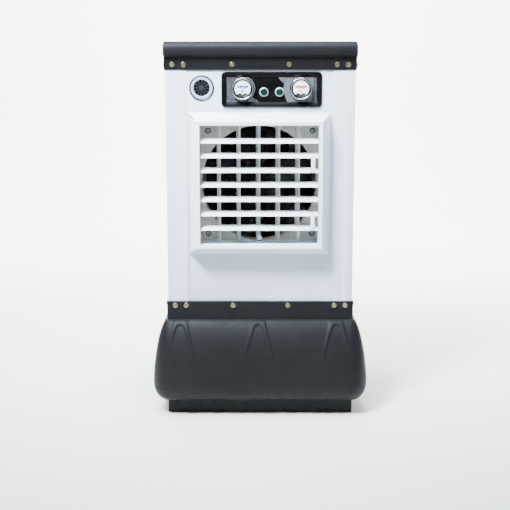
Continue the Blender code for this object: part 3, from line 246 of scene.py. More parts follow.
def moulded_plastic(name, colour, shade, rough=(0.46, 0.62), grain=0.35):
    """Dark plastic with a fine moulded grain."""
    made = Finish(name, colour, 0.42, specular=0.12)
    made.tint(made.noise(5.0, 6.0, 0.65), shade, 0.38, 0.72)
    made.gloss(made.noise(22.0, 6.0, 0.7), *rough)
    made.bump(made.cells(820.0), 0.0003, grain * 0.5)
    made.bump(made.noise(1500.0, 2.0), 0.0002, grain)
    return made.material


def plated_metal(name, colour, shade, rough, scratch=0.2):
    """Metal with a mottled plating."""
    made = Finish(name, colour, rough[0], 1.0)
    made.tint(made.noise(160.0, 5.0, 0.7), shade, 0.42, 0.70)
    made.gloss(made.noise(300.0, 4.0), *rough)
    made.bump(made.noise(900.0, 3.0), 0.0001, scratch)
    return made.material


def make_mottled(kit):
    """Galvanised sheet, wood wool and the two prints of the fascia."""
    shroud = Finish("shroud_galvanised", (0.74, 0.68, 0.61), 0.5, 0.1)
    shroud.tint(shroud.cells(60.0), (0.80, 0.74, 0.67), 0.1, 0.7)
    shroud.tint(shroud.noise(8.0), (0.62, 0.57, 0.50), 0.45, 0.8)
    shroud.gloss(shroud.noise(40.0, 6.0), 0.38, 0.62)
    shroud.bump(shroud.noise(300.0), 0.0003, 0.2)
    kit["shroud"] = shroud.material

    pad = Finish("pad_wood_wool", (0.120, 0.088, 0.048), 0.95)
    strands = pad.noise(70.0, 8.0, 0.7, pad.stretch((1.0, 1.0, 3.2)), 1.6)
    fibres = pad.noise(420.0, 4.0, 0.7, pad.stretch((1.0, 1.0, 5.0)), 2.0)
    pad.tint(strands, (0.250, 0.195, 0.115), 0.40, 0.62)
    pad.tint(pad.noise(9.0), (0.125, 0.090, 0.048), 0.50, 0.8)
    pad.bump(strands, 0.012, 0.9).bump(fibres, 0.004, 0.7)
    kit["pad"] = pad.material

    silver = Finish("silver_print", (0.066, 0.073, 0.084), 0.45, 0.2, 0.3)
    silver.tint(silver.cells(500.0), (0.100, 0.109, 0.124), 0.15, 0.6)
    silver.tint(silver.noise(30.0), (0.048, 0.055, 0.066), 0.5, 0.8)
    silver.gloss(silver.noise(700.0), 0.30, 0.55)
    silver.bump(silver.cells(700.0), 0.0003, 0.5)
    kit["silver"] = silver.material

    weave = Finish("woven_print", (0.013, 0.015, 0.019), 0.45, 0.1, 0.3)
    weave.tint(weave.cells(330.0), (0.085, 0.093, 0.108), 0.42, 0.70)
    weave.tint(weave.noise(25.0), (0.030, 0.034, 0.042), 0.5, 0.8)
    weave.gloss(weave.noise(700.0), 0.30, 0.50)
    kit["weave"] = weave.material


def varied(name, colour, other, scales, rough, roughness=0.3, metallic=0.0, specular=0.5):
    """Print, plastic or metal whose colour and gloss each vary with a noise of their own scale."""
    made = Finish(name, colour, roughness, metallic, specular)
    made.tint(made.noise(scales[0]), other)
    made.gloss(made.noise(scales[1]), *rough)
    return made


def make_small(kit):
    """Materials of the knobs, lamps, badge, prints and hose."""
    for name, colour, other in (("blue", (0.004, 0.012, 0.20), (0.006, 0.018, 0.25)),
                                ("red", (0.34, 0.004, 0.010), (0.40, 0.006, 0.014)),
                                ("ink", (0.03, 0.03, 0.04), (0.06, 0.06, 0.07))):
        kit[name] = varied(f"print_{name}", colour, other, (900.0, 500.0), (0.3, 0.5), 0.4).material
    made = {
        "dial": varied("dial_white", (0.86, 0.88, 0.92), (0.80, 0.83, 0.90), (40.0, 200.0), (0.16, 0.28),
                       0.22),
        "dish": varied("dial_dish", (0.020, 0.027, 0.025), (0.034, 0.044, 0.040), (220.0, 400.0), (0.2, 0.42),
                       metallic=0.3),
        "ring": varied("lamp_ring", (0.27, 0.28, 0.30), (0.34, 0.35, 0.37), (300.0, 500.0), (0.2, 0.4),
                       metallic=0.4),
        "badge": varied("badge_grey", (0.030, 0.034, 0.042), (0.042, 0.047, 0.057), (200.0, 300.0),
                        (0.25, 0.45), 0.35, 0.3),
        "badge_fin": varied("badge_fin_grey", (0.011, 0.013, 0.016), (0.017, 0.019, 0.024), (200.0, 300.0),
                            (0.25, 0.45), 0.40, specular=0.3),
        "pale": varied("badge_pale", (0.34, 0.36, 0.60), (0.40, 0.42, 0.66), (120.0, 300.0), (0.25, 0.4)),
        "hose": varied("hose_translucent", (0.50, 0.56, 0.58), (0.42, 0.47, 0.49), (50.0, 90.0), (0.2, 0.4)),
    }
    made["hose"].bump(made["hose"].noise(500.0), 0.0002, 0.2)
    kit.update({key: finish.material for key, finish in made.items()})

    lens = Finish("lamp_lens_green", (0.0004, 0.013, 0.010), 0.16, specular=0.25)
    lens.tint(lens.cells(420.0), (0.001, 0.026, 0.020), 0.2, 0.7)
    lens.gloss(lens.noise(300.0), 0.10, 0.22)
    lens.bump(lens.cells(420.0), 0.0006, 0.5)
    lens.shader.inputs["Coat Weight"].default_value = 0.3
    kit["lens"] = lens.material


def make_materials():
    """All the object's materials, by the short names that the builders use."""
    kit = {
        "body": paint_white("body_white", (0.62, 0.72, 0.86), (0.595, 0.695, 0.835)),
        "grille": paint_white("grille_white", (0.81, 0.90, 0.985), (0.78, 0.87, 0.96)),
        "vane": paint_white("vane_white", (0.86, 0.87, 0.86), (0.82, 0.83, 0.81)),
        "dark": moulded_plastic("tank_charcoal", (0.0056, 0.0058, 0.0069), (0.0072, 0.0075, 0.0088)),
        "cap": moulded_plastic("cap_charcoal", (0.0066, 0.0068, 0.0081), (0.0085, 0.0087, 0.0104)),
        "black": moulded_plastic("black_moulding", (0.0014, 0.0015, 0.0018), (0.0024, 0.0026, 0.0030),
                                 (0.22, 0.36), 0.15),
        "gloss_black": moulded_plastic("fascia_black", (0.0025, 0.0025, 0.0030), (0.0040, 0.0040, 0.0046),
                                       (0.10, 0.20), 0.03),
        "chrome": plated_metal("bright_chrome", (0.42, 0.43, 0.44), (0.30, 0.31, 0.32), (0.14, 0.26)),
        "brass": plated_metal("zinc_brass_plate", (0.36, 0.33, 0.22), (0.16, 0.13, 0.07), (0.22, 0.42), 0.3),
        "steel": plated_metal("mild_steel", (0.46, 0.47, 0.49), (0.33, 0.33, 0.34), (0.30, 0.48), 0.3),
        "washer": plated_metal("dull_washer", (0.12, 0.125, 0.13), (0.08, 0.083, 0.087), (0.35, 0.5)),
    }
    make_mottled(kit)
    make_small(kit)
    return kit


# ---- mesh helpers -----------------------------------------------------------------------------
def add_piece(name, bm, material, body, replaced=(), bevel=0.0, segments=2, angle=30.0):
    """A shown piece from a bmesh: smooth shading, optional bevelled edges, and a body to ride on."""
    bmesh.ops.recalc_face_normals(bm, faces=bm.faces)
    mesh = bpy.data.meshes.new(name)
    bm.to_mesh(mesh)
    bm.free()
    mesh.materials.append(material)
    obj = bpy.data.objects.new(name, mesh)
    bpy.context.scene.collection.objects.link(obj)
    return dress(obj, body, replaced, bevel, segments, angle)


def dress(obj, body, replaced=(), bevel=0.0, segments=2, angle=30.0):
    """Edges, body and replaced CAD nodes of a shown piece."""
    mesh = obj.data
    mesh.shade_smooth()
    if bevel:
        edge = obj.modifiers.new("edge", "BEVEL")
        edge.width = bevel
        edge.segments = segments
        edge.limit_method = "ANGLE"
        edge.angle_limit = math.radians(angle)
        edge.harden_normals = True
        edge.use_clamp_overlap = True
    else:
        mesh.set_sharp_from_angle(angle=math.radians(angle))
    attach(obj, body)
    if replaced:
        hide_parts(*([replaced] if isinstance(replaced, str) else replaced))
    return obj


def body_of(node):
    """The moving body that a CAD node belongs to."""
    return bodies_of(frame["nodes"][node])[0]


def refine(node, material, bevel, segments=2, angle=25.0):
    """The CAD node's own shape with its flat faces made whole, and its edges rounded."""
    bm = bmesh.new()
    bm.from_mesh(frame["nodes"][node].data)
    bmesh.ops.remove_doubles(bm, verts=bm.verts, dist=0.000002)
    bmesh.ops.dissolve_limit(bm, angle_limit=math.radians(0.6), verts=bm.verts, edges=bm.edges)
    return add_piece(f"{node}_shape", bm, material, body_of(node), node, bevel, segments, angle)


def skin(bm, rings, loop=False):
    """Faces between successive rings of points, closed at both ends or joined round as a loop."""
    made = [[bm.verts.new(point) for point in ring] for ring in rings]
    pairs = list(zip(made, made[1:]))
    if loop:
        pairs.append((made[-1], made[0]))
    for first, second in pairs:
        for i in range(len(first)):
            j = (i + 1) % len(first)
            bm.faces.new((first[i], first[j], second[j], second[i]))
    if not loop:
        bm.faces.new(made[0])
        bm.faces.new(list(reversed(made[-1])))


def turned(bm, profile, centre, axis=-Y_AXIS, segments=48):
    """A solid of revolution. The profile runs (radius, height along the axis) from radius 0 to 0, or
    closes on itself as a ring."""
    turn = Vector(axis).to_track_quat("Z", "Y").to_matrix()
    centre = Vector(centre)
    angles = [2 * math.pi * i / segments for i in range(segments)]

    def ring(radius, height):
        return [centre + turn @ Vector((radius * math.cos(a), radius * math.sin(a), height)) for a in angles]

    if profile[0][0] > 0:
        skin(bm, [ring(r, h) for r, h in profile], loop=True)
    else:
        skin(bm, [ring(max(r, TIP_R), h) for r, h in profile])


def front_disc(bm, profile, place, segments=96):
    """A solid of revolution that faces the front."""
    turned(bm, profile, place, -Y_AXIS, segments)


def slab(bm, outline, y_front, thickness):
    """A flat shape given as (x, z), facing the front."""
    front = [(x, y_front, z) for x, z in outline]
    back = [(x, y_front + thickness, z) for x, z in outline]
    skin(bm, [front, back])


def oblong(low_x, low_z, high_x, high_z):
    """The outline of an upright rectangle."""
    return [(low_x, low_z), (high_x, low_z), (high_x, high_z), (low_x, high_z)]


def arc(cx, cz, radius, start, end, steps):
    """Points on an arc, with angles in degrees counted from +X towards +Z."""
    turns = [math.radians(start + (end - start) * i / steps) for i in range(steps + 1)]
    return [(cx + radius * math.cos(t), cz + radius * math.sin(t)) for t in turns]


def rounded_ring(half_x, half_y, radius, front_steps, side_steps, arc_steps):
    """Points round a rounded rectangle: the front edge (-Y) is divided more finely than the rest."""
    spans = []
    inner_x, inner_y = half_x - radius, half_y - radius
    corners = ((inner_x, -inner_y, -90), (inner_x, inner_y, 0),
               (-inner_x, inner_y, 90), (-inner_x, -inner_y, 180))
    steps = (side_steps, side_steps, side_steps, front_steps)
    for (cx, cy, start), count, following in zip(corners, steps, corners[1:] + corners[:1]):
        points = arc(cx, cy, radius, start, start + 90, arc_steps)
        spans += points
        turn = math.radians(start + 90)
        last = Vector((cx + radius * math.cos(turn), cy + radius * math.sin(turn)))
        nx, ny, _ = following
        after = Vector((nx + radius * math.cos(turn), ny + radius * math.sin(turn)))
        spans += [tuple(last.lerp(after, i / count)) for i in range(1, count)]
    return spans


def smooth(value):
    """A soft step from 0 to 1."""
    value = min(1.0, max(0.0, value))
    return value * value * (3 - 2 * value)


# ---- tank, stand and cap ----------------------------------------------------------------------
def bulge_share(height):
    """Share of the tank's full swell at a height."""
    widest = TANK_FLOOR + BULGE_RISE
    if height >= widest:
        share = min(1.0, (height - widest) / (RIM_FOOT - widest))
        return (1 - share ** SHOULDER_POWER) ** (1 / SHOULDER_POWER)
    return math.sqrt(max(0.0, 1 - ((widest - height) / BULGE_RISE) ** 2))


def rib_rise(x, z):
    """How far the tank's front stands out for its upside-down V ribs."""
    top = RIM_FOOT
    down = (top - z) / RIB_LENGTH
    if down < 0 or down > 1:
        return 0.0
    outer = RIB_TOP_HALF + (RIB_FOOT_HALF - RIB_TOP_HALF) * down
    band = RIB_BAND * (1 - 0.55 * down)
    crotch = top - RIB_BAND * 1.15
    best = 0.0
    for centre in RIB_XS:
        u = abs(x - centre)
        ridge = smooth((outer - u) / RIB_EDGE + 0.5)
        inner = outer - band
        below = (crotch - z) / (RIB_EDGE * 3.0)
        crown = smooth(below + 0.5 - (u / max(inner, 0.001)) ** 2 * 0.8)
        tongue = smooth((inner - u) / RIB_EDGE + 0.5) * crown
        best = max(best, ridge - tongue)
    fade = (1 - down) ** 0.75
    return RIB_RISE * max(0.0, best) * fade * smooth((top - z) / 0.004)


def build_tank(kit):
    """The moulded tank: skirt, creased shoulder, ribs, long swell, rolled floor edge, ledge and inside."""
    widest = TANK_FLOOR + BULGE_RISE
    heights = [TANK_FLOOR + BULGE_RISE * (1 - math.cos(math.pi / 2 * i / 14)) for i in range(14)]
    heights += [widest + (RIM_FOOT - widest) * i / 78 for i in range(79)]
    rings = []

    def level(side, end, radius, z, ribs=False):
        points = []
        for x, y in rounded_ring(HALF_W + side, HALF_D + end, radius, 230, 26, 12):
            push = rib_rise(x, z) if ribs and y < 0 else 0.0
            points.append((x, y - push, z))
        rings.append(points)

    level(-0.060, -0.060, 0.020, TANK_FLOOR)
    for z in heights:
        seam = 0.0006 * math.exp(-((z - widest) / 0.0016) ** 2)
        share = bulge_share(z)
        out = share - seam / SIDE_BULGE
        level(SKIN + SIDE_BULGE * out, SKIN + END_BULGE * out, 0.008 + 0.062 * share, z, True)
    for back, z in ((0.0, RIM_FOOT + 0.002), (0.0, RIM_TOP - 0.0030), (-0.0005, RIM_TOP - 0.0012),
                    (-0.0014, RIM_TOP - 0.0003), (-0.0024, RIM_TOP)):
        level(SKIN + back, SKIN + back, 0.008, z)
    for reach, radius, z in ((SLIDE_GAP, 0.004, RIM_TOP), (SLIDE_GAP, 0.004, LEDGE_TOP),
                             (-LEDGE_REACH, 0.002, LEDGE_TOP), (-LEDGE_REACH, 0.002, LEDGE_FOOT)):
        level(reach, reach, radius, z)
    for i in range(12):
        z = INSIDE_TOP - (INSIDE_TOP - TANK_FLOOR - 0.004) * i / 11
        share = bulge_share(z)
        side, end = SKIN + SIDE_BULGE * share - TANK_WALL, SKIN + END_BULGE * share - TANK_WALL
        level(side, end, 0.008 + 0.060 * share, z)
    bm = bmesh.new()
    skin(bm, rings)
    add_piece("tank_moulding", bm, kit["dark"], "cabinet", "tank", angle=42.0)


def build_cap(kit):
    """The moulded cap: skirt, undercut step, rolled edge and a shallow sunk field on top."""
    step = WALL_TOP + 0.043
    side, end = CAP_SKIN + 0.0012, CAP_SKIN + 0.014
    roll, corner = 0.022, 0.004
    levels = [(SLIDE_GAP, SLIDE_GAP, 0.004, TOP - 0.007), (SLIDE_GAP, SLIDE_GAP, 0.004, WALL_TOP + 0.0006)]
    levels += [(0.0012, 0.0012, 0.005, WALL_TOP), (CAP_SKIN - 0.0008, CAP_SKIN - 0.0008, 0.006, WALL_TOP)]
    levels += [(CAP_SKIN, CAP_SKIN, corner, WALL_TOP + 0.0010), (CAP_SKIN, CAP_SKIN, corner, step - 0.0035)]
    levels += [(CAP_SKIN + 0.0002, CAP_SKIN + 0.0008, corner, step - 0.0018)]
    levels += [(side - 0.0006, end - 0.0050, corner, step - 0.0004)]
    levels += [(side - 0.0002, end - 0.0016, corner, step + 0.0008), (side, end, corner, step + 0.0030)]
    for i in range(13):
        turn = math.pi / 2 * i / 12
        back = 1 - math.cos(turn)
        levels.append((side - 0.004 * back, end - roll * back, corner, TOP - roll + roll * math.sin(turn)))
    for inset, drop in ((0.050, 0.0), (0.0535, 0.0006), (0.0575, 0.0034), (0.061, 0.0040), (0.075, 0.0040)):
        levels.append((-inset, -inset, 0.022, TOP - drop))
    rings = []
    for along, across, radius, z in levels:
        outline = rounded_ring(HALF_W + along, HALF_D + across, radius, 40, 40, 8)
        rings.append([(x, y, z) for x, y in outline])
    bm = bmesh.new()
    skin(bm, rings)
    add_piece("cap_moulding", bm, kit["cap"], "cabinet", "top_cap", angle=50.0)


def build_stand(kit):
    """The hollow stand, with a welded look: a folded foot flange and a rolled top edge."""
    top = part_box("base_stand")[1].z
    levels = [(-STAND_WALL, 0.0), (-0.0015, 0.0), (0.0, 0.0015)]
    levels += [(0.0, top - 0.0015), (-0.0015, top), (-STAND_WALL, top)]
    rings = []
    for out, z in levels:
        outline = rounded_ring(HALF_W + STAND_LIP + out, HALF_D + STAND_LIP + out, 0.004, 12, 12, 5)
        rings.append([(x, y, z) for x, y in outline])
    bm = bmesh.new()
    skin(bm, rings, loop=True)
    add_piece("stand_frame", bm, kit["black"], "cabinet", "base_stand", angle=40.0)


# ---- fasteners --------------------------------------------------------------------------------
def hex_screw(name, place, axis, kit, replaced=()):
    """A flanged hexagon screw: washer face, dished flange, chamfered head with a sunk centre."""
    bm = bmesh.new()
    profile = [(0, 0), (SCREW_HEAD_R, 0), (SCREW_HEAD_R, 0.0006), (SCREW_HEAD_R * 0.92, 0.0014), (0, 0.0016)]
    turned(bm, profile, place, axis, 28)
    turn = Vector(axis).to_track_quat("Z", "Y").to_matrix()
    centre = Vector(place)
    rings = []
    radius = SCREW_HEAD_R * 0.76
    for scale, height in ((1.0, 0.0012), (1.0, 0.0040), (0.90, 0.0050), (0.62, 0.0050), (0.50, 0.0042)):
        ring = []
        for i in range(24):
            angle = 2 * math.pi * i / 24
            flat = math.cos(math.pi / 6) / math.cos((angle + math.pi / 6) % (math.pi / 3) - math.pi / 6)
            blend = 1.0 if scale == 1.0 else 0.35 if scale > 0.8 else 0.0
            reach = radius * scale * (flat * blend + 0.95 * (1 - blend))
            ring.append(centre + turn @ Vector((reach * math.cos(angle), reach * math.sin(angle), height)))
        rings.append(ring)
    skin(bm, rings)
    add_piece(name, bm, kit["brass"], "cabinet", replaced, bevel=0.0002)


def build_screws(kit):
    """Screws of the cap and of the tank's rim, all round. Those on the front posts are CAD nodes."""
    for row, (z, out) in zip(("upper", "lower"), SCREW_ROWS):
        nodes = [f"{row}_left_outer_screw", f"{row}_left_inner_screw", (), (),
                 f"{row}_right_inner_screw", f"{row}_right_outer_screw"]
        out += LIFT
        for k, (x, node) in enumerate(zip(FRONT_SCREW_XS, nodes)):
            hex_screw(f"{row}_front_screw_{k + 1}", (x, -HALF_D - out, z), (0, -1, 0), kit, node)
        for k, x in enumerate(FRONT_SCREW_XS):
            hex_screw(f"{row}_rear_screw_{k + 1}", (x, HALF_D + out, z), (0, 1, 0), kit)
        for name, side in (("left", -1), ("right", 1)):
            for k, y in enumerate(SIDE_SCREW_YS):
                place = (side * (HALF_W + out), y, z)
                hex_screw(f"{row}_{name}_side_screw_{k + 1}", place, (side, 0, 0), kit)


# ---- panels -----------------------------------------------------------------------------------
def build_slot_hoods(kit):
    """Pressed hoods over the air slots of the side and rear panels."""
    low, high = RIM_TOP + 0.060, WALL_TOP - 0.060
    pitch = (high - low - 0.016) / (SLOT_ROWS - 1)
    for name, turn, half in (("left", -90, HALF_D), ("right", 90, HALF_D), ("rear", 180, HALF_W)):
        out = (HALF_D if name == "rear" else HALF_W) - PANEL_INSET
        reach = half - 0.070 - 0.035
        stations = ((-reach - 0.003, 0.15), (-reach + 0.004, 1.0),
                    (reach - 0.004, 1.0), (reach + 0.003, 0.15))
        bm = bmesh.new()
        for k in range(SLOT_ROWS):
            base = low + pitch * k
            top = base + 0.0172
            section = [(0.0004, base + 0.0175), (-0.0020, top), (-0.0065, base + 0.0070),
                       (-0.0068, base + 0.0058), (-0.0056, base + 0.0060), (-0.0010, base + 0.0160),
                       (0.0004, base + 0.0164)]
            rings = []
            for x, shrink in stations:
                squash = 0.5 + shrink / 2
                rings.append([(x, -out + y * shrink, top + (z - top) * squash) for y, z in section])
            skin(bm, rings)
        bm.transform(Matrix.Rotation(math.radians(turn), 4, "Z"))
        add_piece(f"{name}_slot_hoods", bm, kit["body"], "cabinet", bevel=0.0004)


def build_panels(kit):
    """Corner posts and panels, in the CAD's own shapes."""
    for end in ("front", "rear"):
        for side in ("left", "right"):
            refine(f"corner_post_{end}_{side}", kit["body"], 0.00045, 2, 18.0)
    for name in ("front_panel", "left_panel", "right_panel", "rear_panel"):
        refine(name, kit["body"], 0.0006)
    build_slot_hoods(kit)


# ---- air outlet -------------------------------------------------------------------------------
def build_outlet(kit):
    """Frame, louvers, links, vanes and shroud in the CAD's own shapes, with what the CAD leaves out."""
    for name in ("top", "bottom", "left", "right"):
        refine(f"outlet_frame_{name}", kit["grille"], 0.0009, 3)
    for k in range(LOUVERS):
        refine(f"louver_{k + 1}", kit["grille"], 0.0004, 2, 20.0)
    for name in ("upper_louver_link", "lower_louver_link"):
        refine(name, kit["grille"], 0.0005)
    for k in range(VANES):
        refine(f"vane_{k + 1}", kit["vane"], 0.0004)
    refine("vane_tie_bar", kit["vane"], 0.0005)
    refine("fan_shroud", kit["shroud"], 0.0005)
    build_grip(kit)
    build_mitre_gap_shade(kit)
    face_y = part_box("fan_shroud")[0].y - LIFT
    middle_z = OUTLET_Z + SHROUD_SCREW_RISE
    sides = [(sx, sz) for sx in (-1, 1) for sz in (-1, 1)]
    for i, (sx, sz) in enumerate(sides):
        place = (sx * SHROUD_SCREW_X, face_y, middle_z + sz * SHROUD_SCREW_Z)
        shroud_screw(f"shroud_screw_{i + 1}", place, kit)


def build_mitre_gap_shade(kit):
    """A black sliver in the joint of the outlet frame that stands a little open at the top left corner:
    painted shade for the dark of the gap.
    """
    low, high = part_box("outlet_frame_top")
    reach, rim = high.x - OUTLET_X, OUTLET_HALF + 0.012
    foot_y = -HALF_D + 0.002
    turns = [math.radians(60 * j) for j in range(6)]
    around = [Vector((math.cos(t), 0.3 * math.sin(t), -math.sin(t))) for t in turns]
    steps = 12
    rings = []
    for i in range(steps + 1):
        share = i / steps
        along = 0.10 + 0.72 * share
        u = reach + (rim - reach) * along
        centre = Vector((OUTLET_X - u, foot_y + (low.y - foot_y) * along, OUTLET_Z + u))
        radius = 0.0002 + 0.0014 * math.sin(math.pi * share) ** 0.6
        rings.append([centre + radius * way for way in around])
    # The black sliver is painted shade, where the open joint looks dark.
    bm = bmesh.new()
    skin(bm, rings)
    add_piece("frame_mitre_painted_shade", bm, kit["black"], "cabinet", angle=60.0)


def shroud_screw(name, place, kit):
    """A pan head screw with a cross slot and a washer."""
    bm = bmesh.new()
    front_disc(bm, [(0, 0), (0.0100, 0), (0.0100, 0.0006), (0.0094, 0.0010), (0, 0.0010)], place, 28)
    add_piece(f"{name}_washer", bm, kit["washer"], "cabinet")
    turns = [math.radians(a) for a in range(0, 90, 12)]
    dome = [(0, 0.0008)] + [(0.0060 * math.cos(t), 0.0010 + 0.0024 * math.sin(t)) for t in turns]
    dome += [(0, 0.0034)]
    bm = bmesh.new()
    front_disc(bm, dome, place, 28)
    add_piece(name, bm, kit["steel"], "cabinet")
    cross = bmesh.new()
    x, y, z = place
    for half_x, half_z in ((0.0032, 0.0006), (0.0006, 0.0032)):
        slab(cross, oblong(x - half_x, z - half_z, x + half_x, z + half_z), y - 0.0035, 0.0006)
    add_piece(f"{name}_cross", cross, kit["ink"], "cabinet")


def build_grip(kit):
    """The lobed finger grip on the vanes' tie bar, on a dark foot."""
    low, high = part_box("vane_grip")
    cx, cy = (low.x + high.x) / 2, (low.y + high.y) / 2
    foot = bmesh.new()
    turned(foot, [(0, 0), (0.0060, 0), (0.0064, 0.0006), (0.0064, 0.0034), (0.0058, 0.0040), (0, 0.0040)],
           (cx, cy, low.z), Z_AXIS, 32)
    add_piece("vane_grip_foot", foot, kit["black"], "vane_tie")
    rings = []
    tall = high.z - low.z - 0.0040
    steps = 14
    for i in range(steps + 1):
        share = i / steps
        up = low.z + 0.0040 + tall * share
        radius = 0.0088 * (math.sin(math.pi * (0.12 + 0.80 * share)) ** 0.45)
        ring = []
        for j in range(60):
            angle = 2 * math.pi * j / 60
            reach = radius * (1 - 0.07 * (0.5 + 0.5 * math.cos(6 * angle)) * math.sin(math.pi * share))
            ring.append((cx + reach * math.cos(angle), cy + reach * math.sin(angle), up))
        rings.append(ring)
    bm = bmesh.new()
    skin(bm, rings)
    add_piece("vane_grip_knob", bm, kit["grille"], "vane_tie", "vane_grip", angle=60.0)


def build_fan(kit):
    """Blades, shaft, motor and bracket, in the CAD's own shapes."""
    refine("fan_blades", kit["black"], 0.0007, 2, 32.0)
    for node, name in (("fan_motor", "dark"), ("fan_shaft", "steel"), ("motor_bracket", "steel")):
        refine(node, kit[name], 0.0008)


# ---- control panel ----------------------------------------------------------------------------
def add_print(name, outline, rise, thickness, material):
    """A printed area of the fascia as a thin slab."""
    bm = bmesh.new()
    slab(bm, outline, FASCIA_Y - rise, thickness)
    add_piece(name, bm, material, "cabinet")


def build_bezel(kit):
    """Bezel and fascia with silver and woven areas, and a scale of numerals round each knob."""
    refine("control_bezel", kit["black"], 0.0010, 3, 20.0)
    refine("control_fascia", kit["gloss_black"], 0.0002)
    low_x, high_x = WINDOW[0] + 0.001, WINDOW[1] - 0.001
    low_z, high_z = WINDOW[2] + 0.001, WINDOW[3] - 0.001
    knob_x = KNOB_XS["speed_knob"]
    left = [(low_x, high_z), (low_x, low_z), (knob_x + 0.052, low_z), (knob_x + 0.0385, low_z + 0.011)]
    left += arc(knob_x, KNOB_Z, 0.0405, -38, 58, 14) + [(knob_x + 0.019, high_z)]
    knob_x = KNOB_XS["pump_knob"]
    right = [(high_x, high_z), (knob_x - 0.073, high_z), (knob_x - 0.053, KNOB_Z + 0.015)]
    right += [(knob_x - 0.0555, KNOB_Z + 0.004), (knob_x - 0.0565, KNOB_Z - 0.008), (knob_x - 0.043, low_z)]
    right += [(high_x, low_z)]
    weave = [(low_x, high_z), (low_x, low_z), (low_x + 0.070, low_z), (low_x + 0.048, high_z)]
    strip = [(high_x - 0.009, high_z), (high_x - 0.016, low_z), (high_x, low_z), (high_x, high_z)]
    for name, outline in (("left", left), ("right", right)):
        add_print(f"fascia_silver_{name}", outline, 0.00022, 0.00020, kit["silver"])
    for name, outline in (("left", weave), ("right", strip)):
        add_print(f"fascia_weave_{name}", outline, 0.00026, 0.00006, kit["weave"])
    for knob, marks in (("speed_knob", "0123"), ("pump_knob", "012")):
        for digit, angle in zip(marks, MARK_ANGLES):
            turn = math.radians(angle)
            x = KNOB_XS[knob] + MARK_R * math.cos(turn)
            z = KNOB_Z + MARK_R * math.sin(turn) - 0.001
            add_digit(f"{knob}_mark_{digit}", digit, (x, FASCIA_Y - 0.00024, z), kit["ink"])


def add_digit(name, digit, place, material):
    """One numeral, centred, as raised print facing the front."""
    curve = bpy.data.curves.new(name, "FONT")
    curve.body = digit
    curve.size = MARK_SIZE
    curve.align_x = "CENTER"
    curve.align_y = "CENTER"
    curve.extrude = MARK_RAISE
    curve.materials.append(material)
    obj = bpy.data.objects.new(name, curve)
    obj.location = place
    obj.rotation_euler = (math.pi / 2, 0, 0)
    bpy.context.scene.collection.objects.link(obj)
    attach(obj, "cabinet")


def build_knob(node, ink, kit):
    """A bright rim round a dark dish, a gloss black ring of painted shade inside the rim, and a white dial
    whose foot is cut by two scallops.
    """
    x, z = KNOB_XS[node], KNOB_Z
    place = (x, SEAT, z)
    rim = [(0.0295, 0.0010), (0.0352, 0.0), (0.0362, 0.0008), (0.0365, 0.0025), (0.0358, 0.0042),
           (0.0350, 0.0052), (0.0352, 0.0066), (0.0356, 0.0150), (0.0352, 0.0185), (0.0342, 0.0205),
           (0.0328, 0.0214), (0.0312, 0.0210), (0.0300, 0.0198), (0.0294, 0.0180), (0.0290, 0.0160)]
    bm = bmesh.new()
    front_disc(bm, rim, place)
    add_piece(f"{node}_rim", bm, kit["chrome"], node, node, angle=50.0)
    dish = [(0, 0.0010), (0.0296, 0.0010), (0.0296, 0.0176), (0.0286, 0.0180), (0.0268, 0.0172),
            (0.0256, 0.0164), (0, 0.0160)]
    bm = bmesh.new()
    front_disc(bm, dish, place)
    add_piece(f"{node}_dish", bm, kit["dish"], node, angle=50.0)
    # A gloss black ring inside the chrome rim: painted shade for the darker shading there.
    bm = bmesh.new()
    front_disc(bm, [(0.0262, 0.0172), (0.0292, 0.0178), (0.0292, 0.0188), (0.0264, 0.0184)], place)
    add_piece(f"{node}_painted_shade_ring", bm, kit["gloss_black"], node, angle=50.0)

    outer, lobe = 0.0252, 0.0100
    outline = arc(x, z, outer, -40, 220, 60)
    outline += arc(x - lobe * 0.88, z - outer * 0.93, lobe, 150, 28, 14)
    outline += arc(x + lobe * 0.88, z - outer * 0.93, lobe, 152, 30, 14)
    bm = bmesh.new()
    slab(bm, outline, SEAT - 0.0196, 0.0034)
    add_piece(f"{node}_dial", bm, kit["dial"], node, bevel=0.0005, segments=3, angle=40.0)

    rings = []
    steps = 8
    for i in range(steps + 1):
        share = i / steps
        swell = math.sin(math.pi * share)
        half = 0.0022 + 0.0010 * swell
        up = z - 0.0272 + 0.0105 * share
        top_y = SEAT - 0.0164 - (0.0018 + 0.0012 * swell)
        rings.append([(x - half, SEAT - 0.0162, up), (x - half * 0.6, top_y, up),
                      (x + half * 0.6, top_y, up), (x + half, SEAT - 0.0162, up)])
    ridge = bmesh.new()
    skin(ridge, rings)
    add_piece(f"{node}_pointer", ridge, kit["dish"], node, bevel=0.0004, angle=25.0)

    front = SEAT - 0.01966
    marks = bmesh.new()
    slab(marks, arc(x, z - 0.0070, 0.0034, 0, 345, 23), front, PRINT)
    for k in range(4):
        left, tall = x - 0.0176 + 0.0089 * k, 0.0062 + 0.0008 * (k % 2)
        slab(marks, oblong(left, z + 0.0030, left + 0.0084, z + 0.0030 + tall), front, PRINT)
    slab(marks, oblong(x - 0.0100, z + 0.0002, x + 0.0100, z + 0.0016), front, PRINT)
    add_piece(f"{node}_print", marks, kit[ink], node)


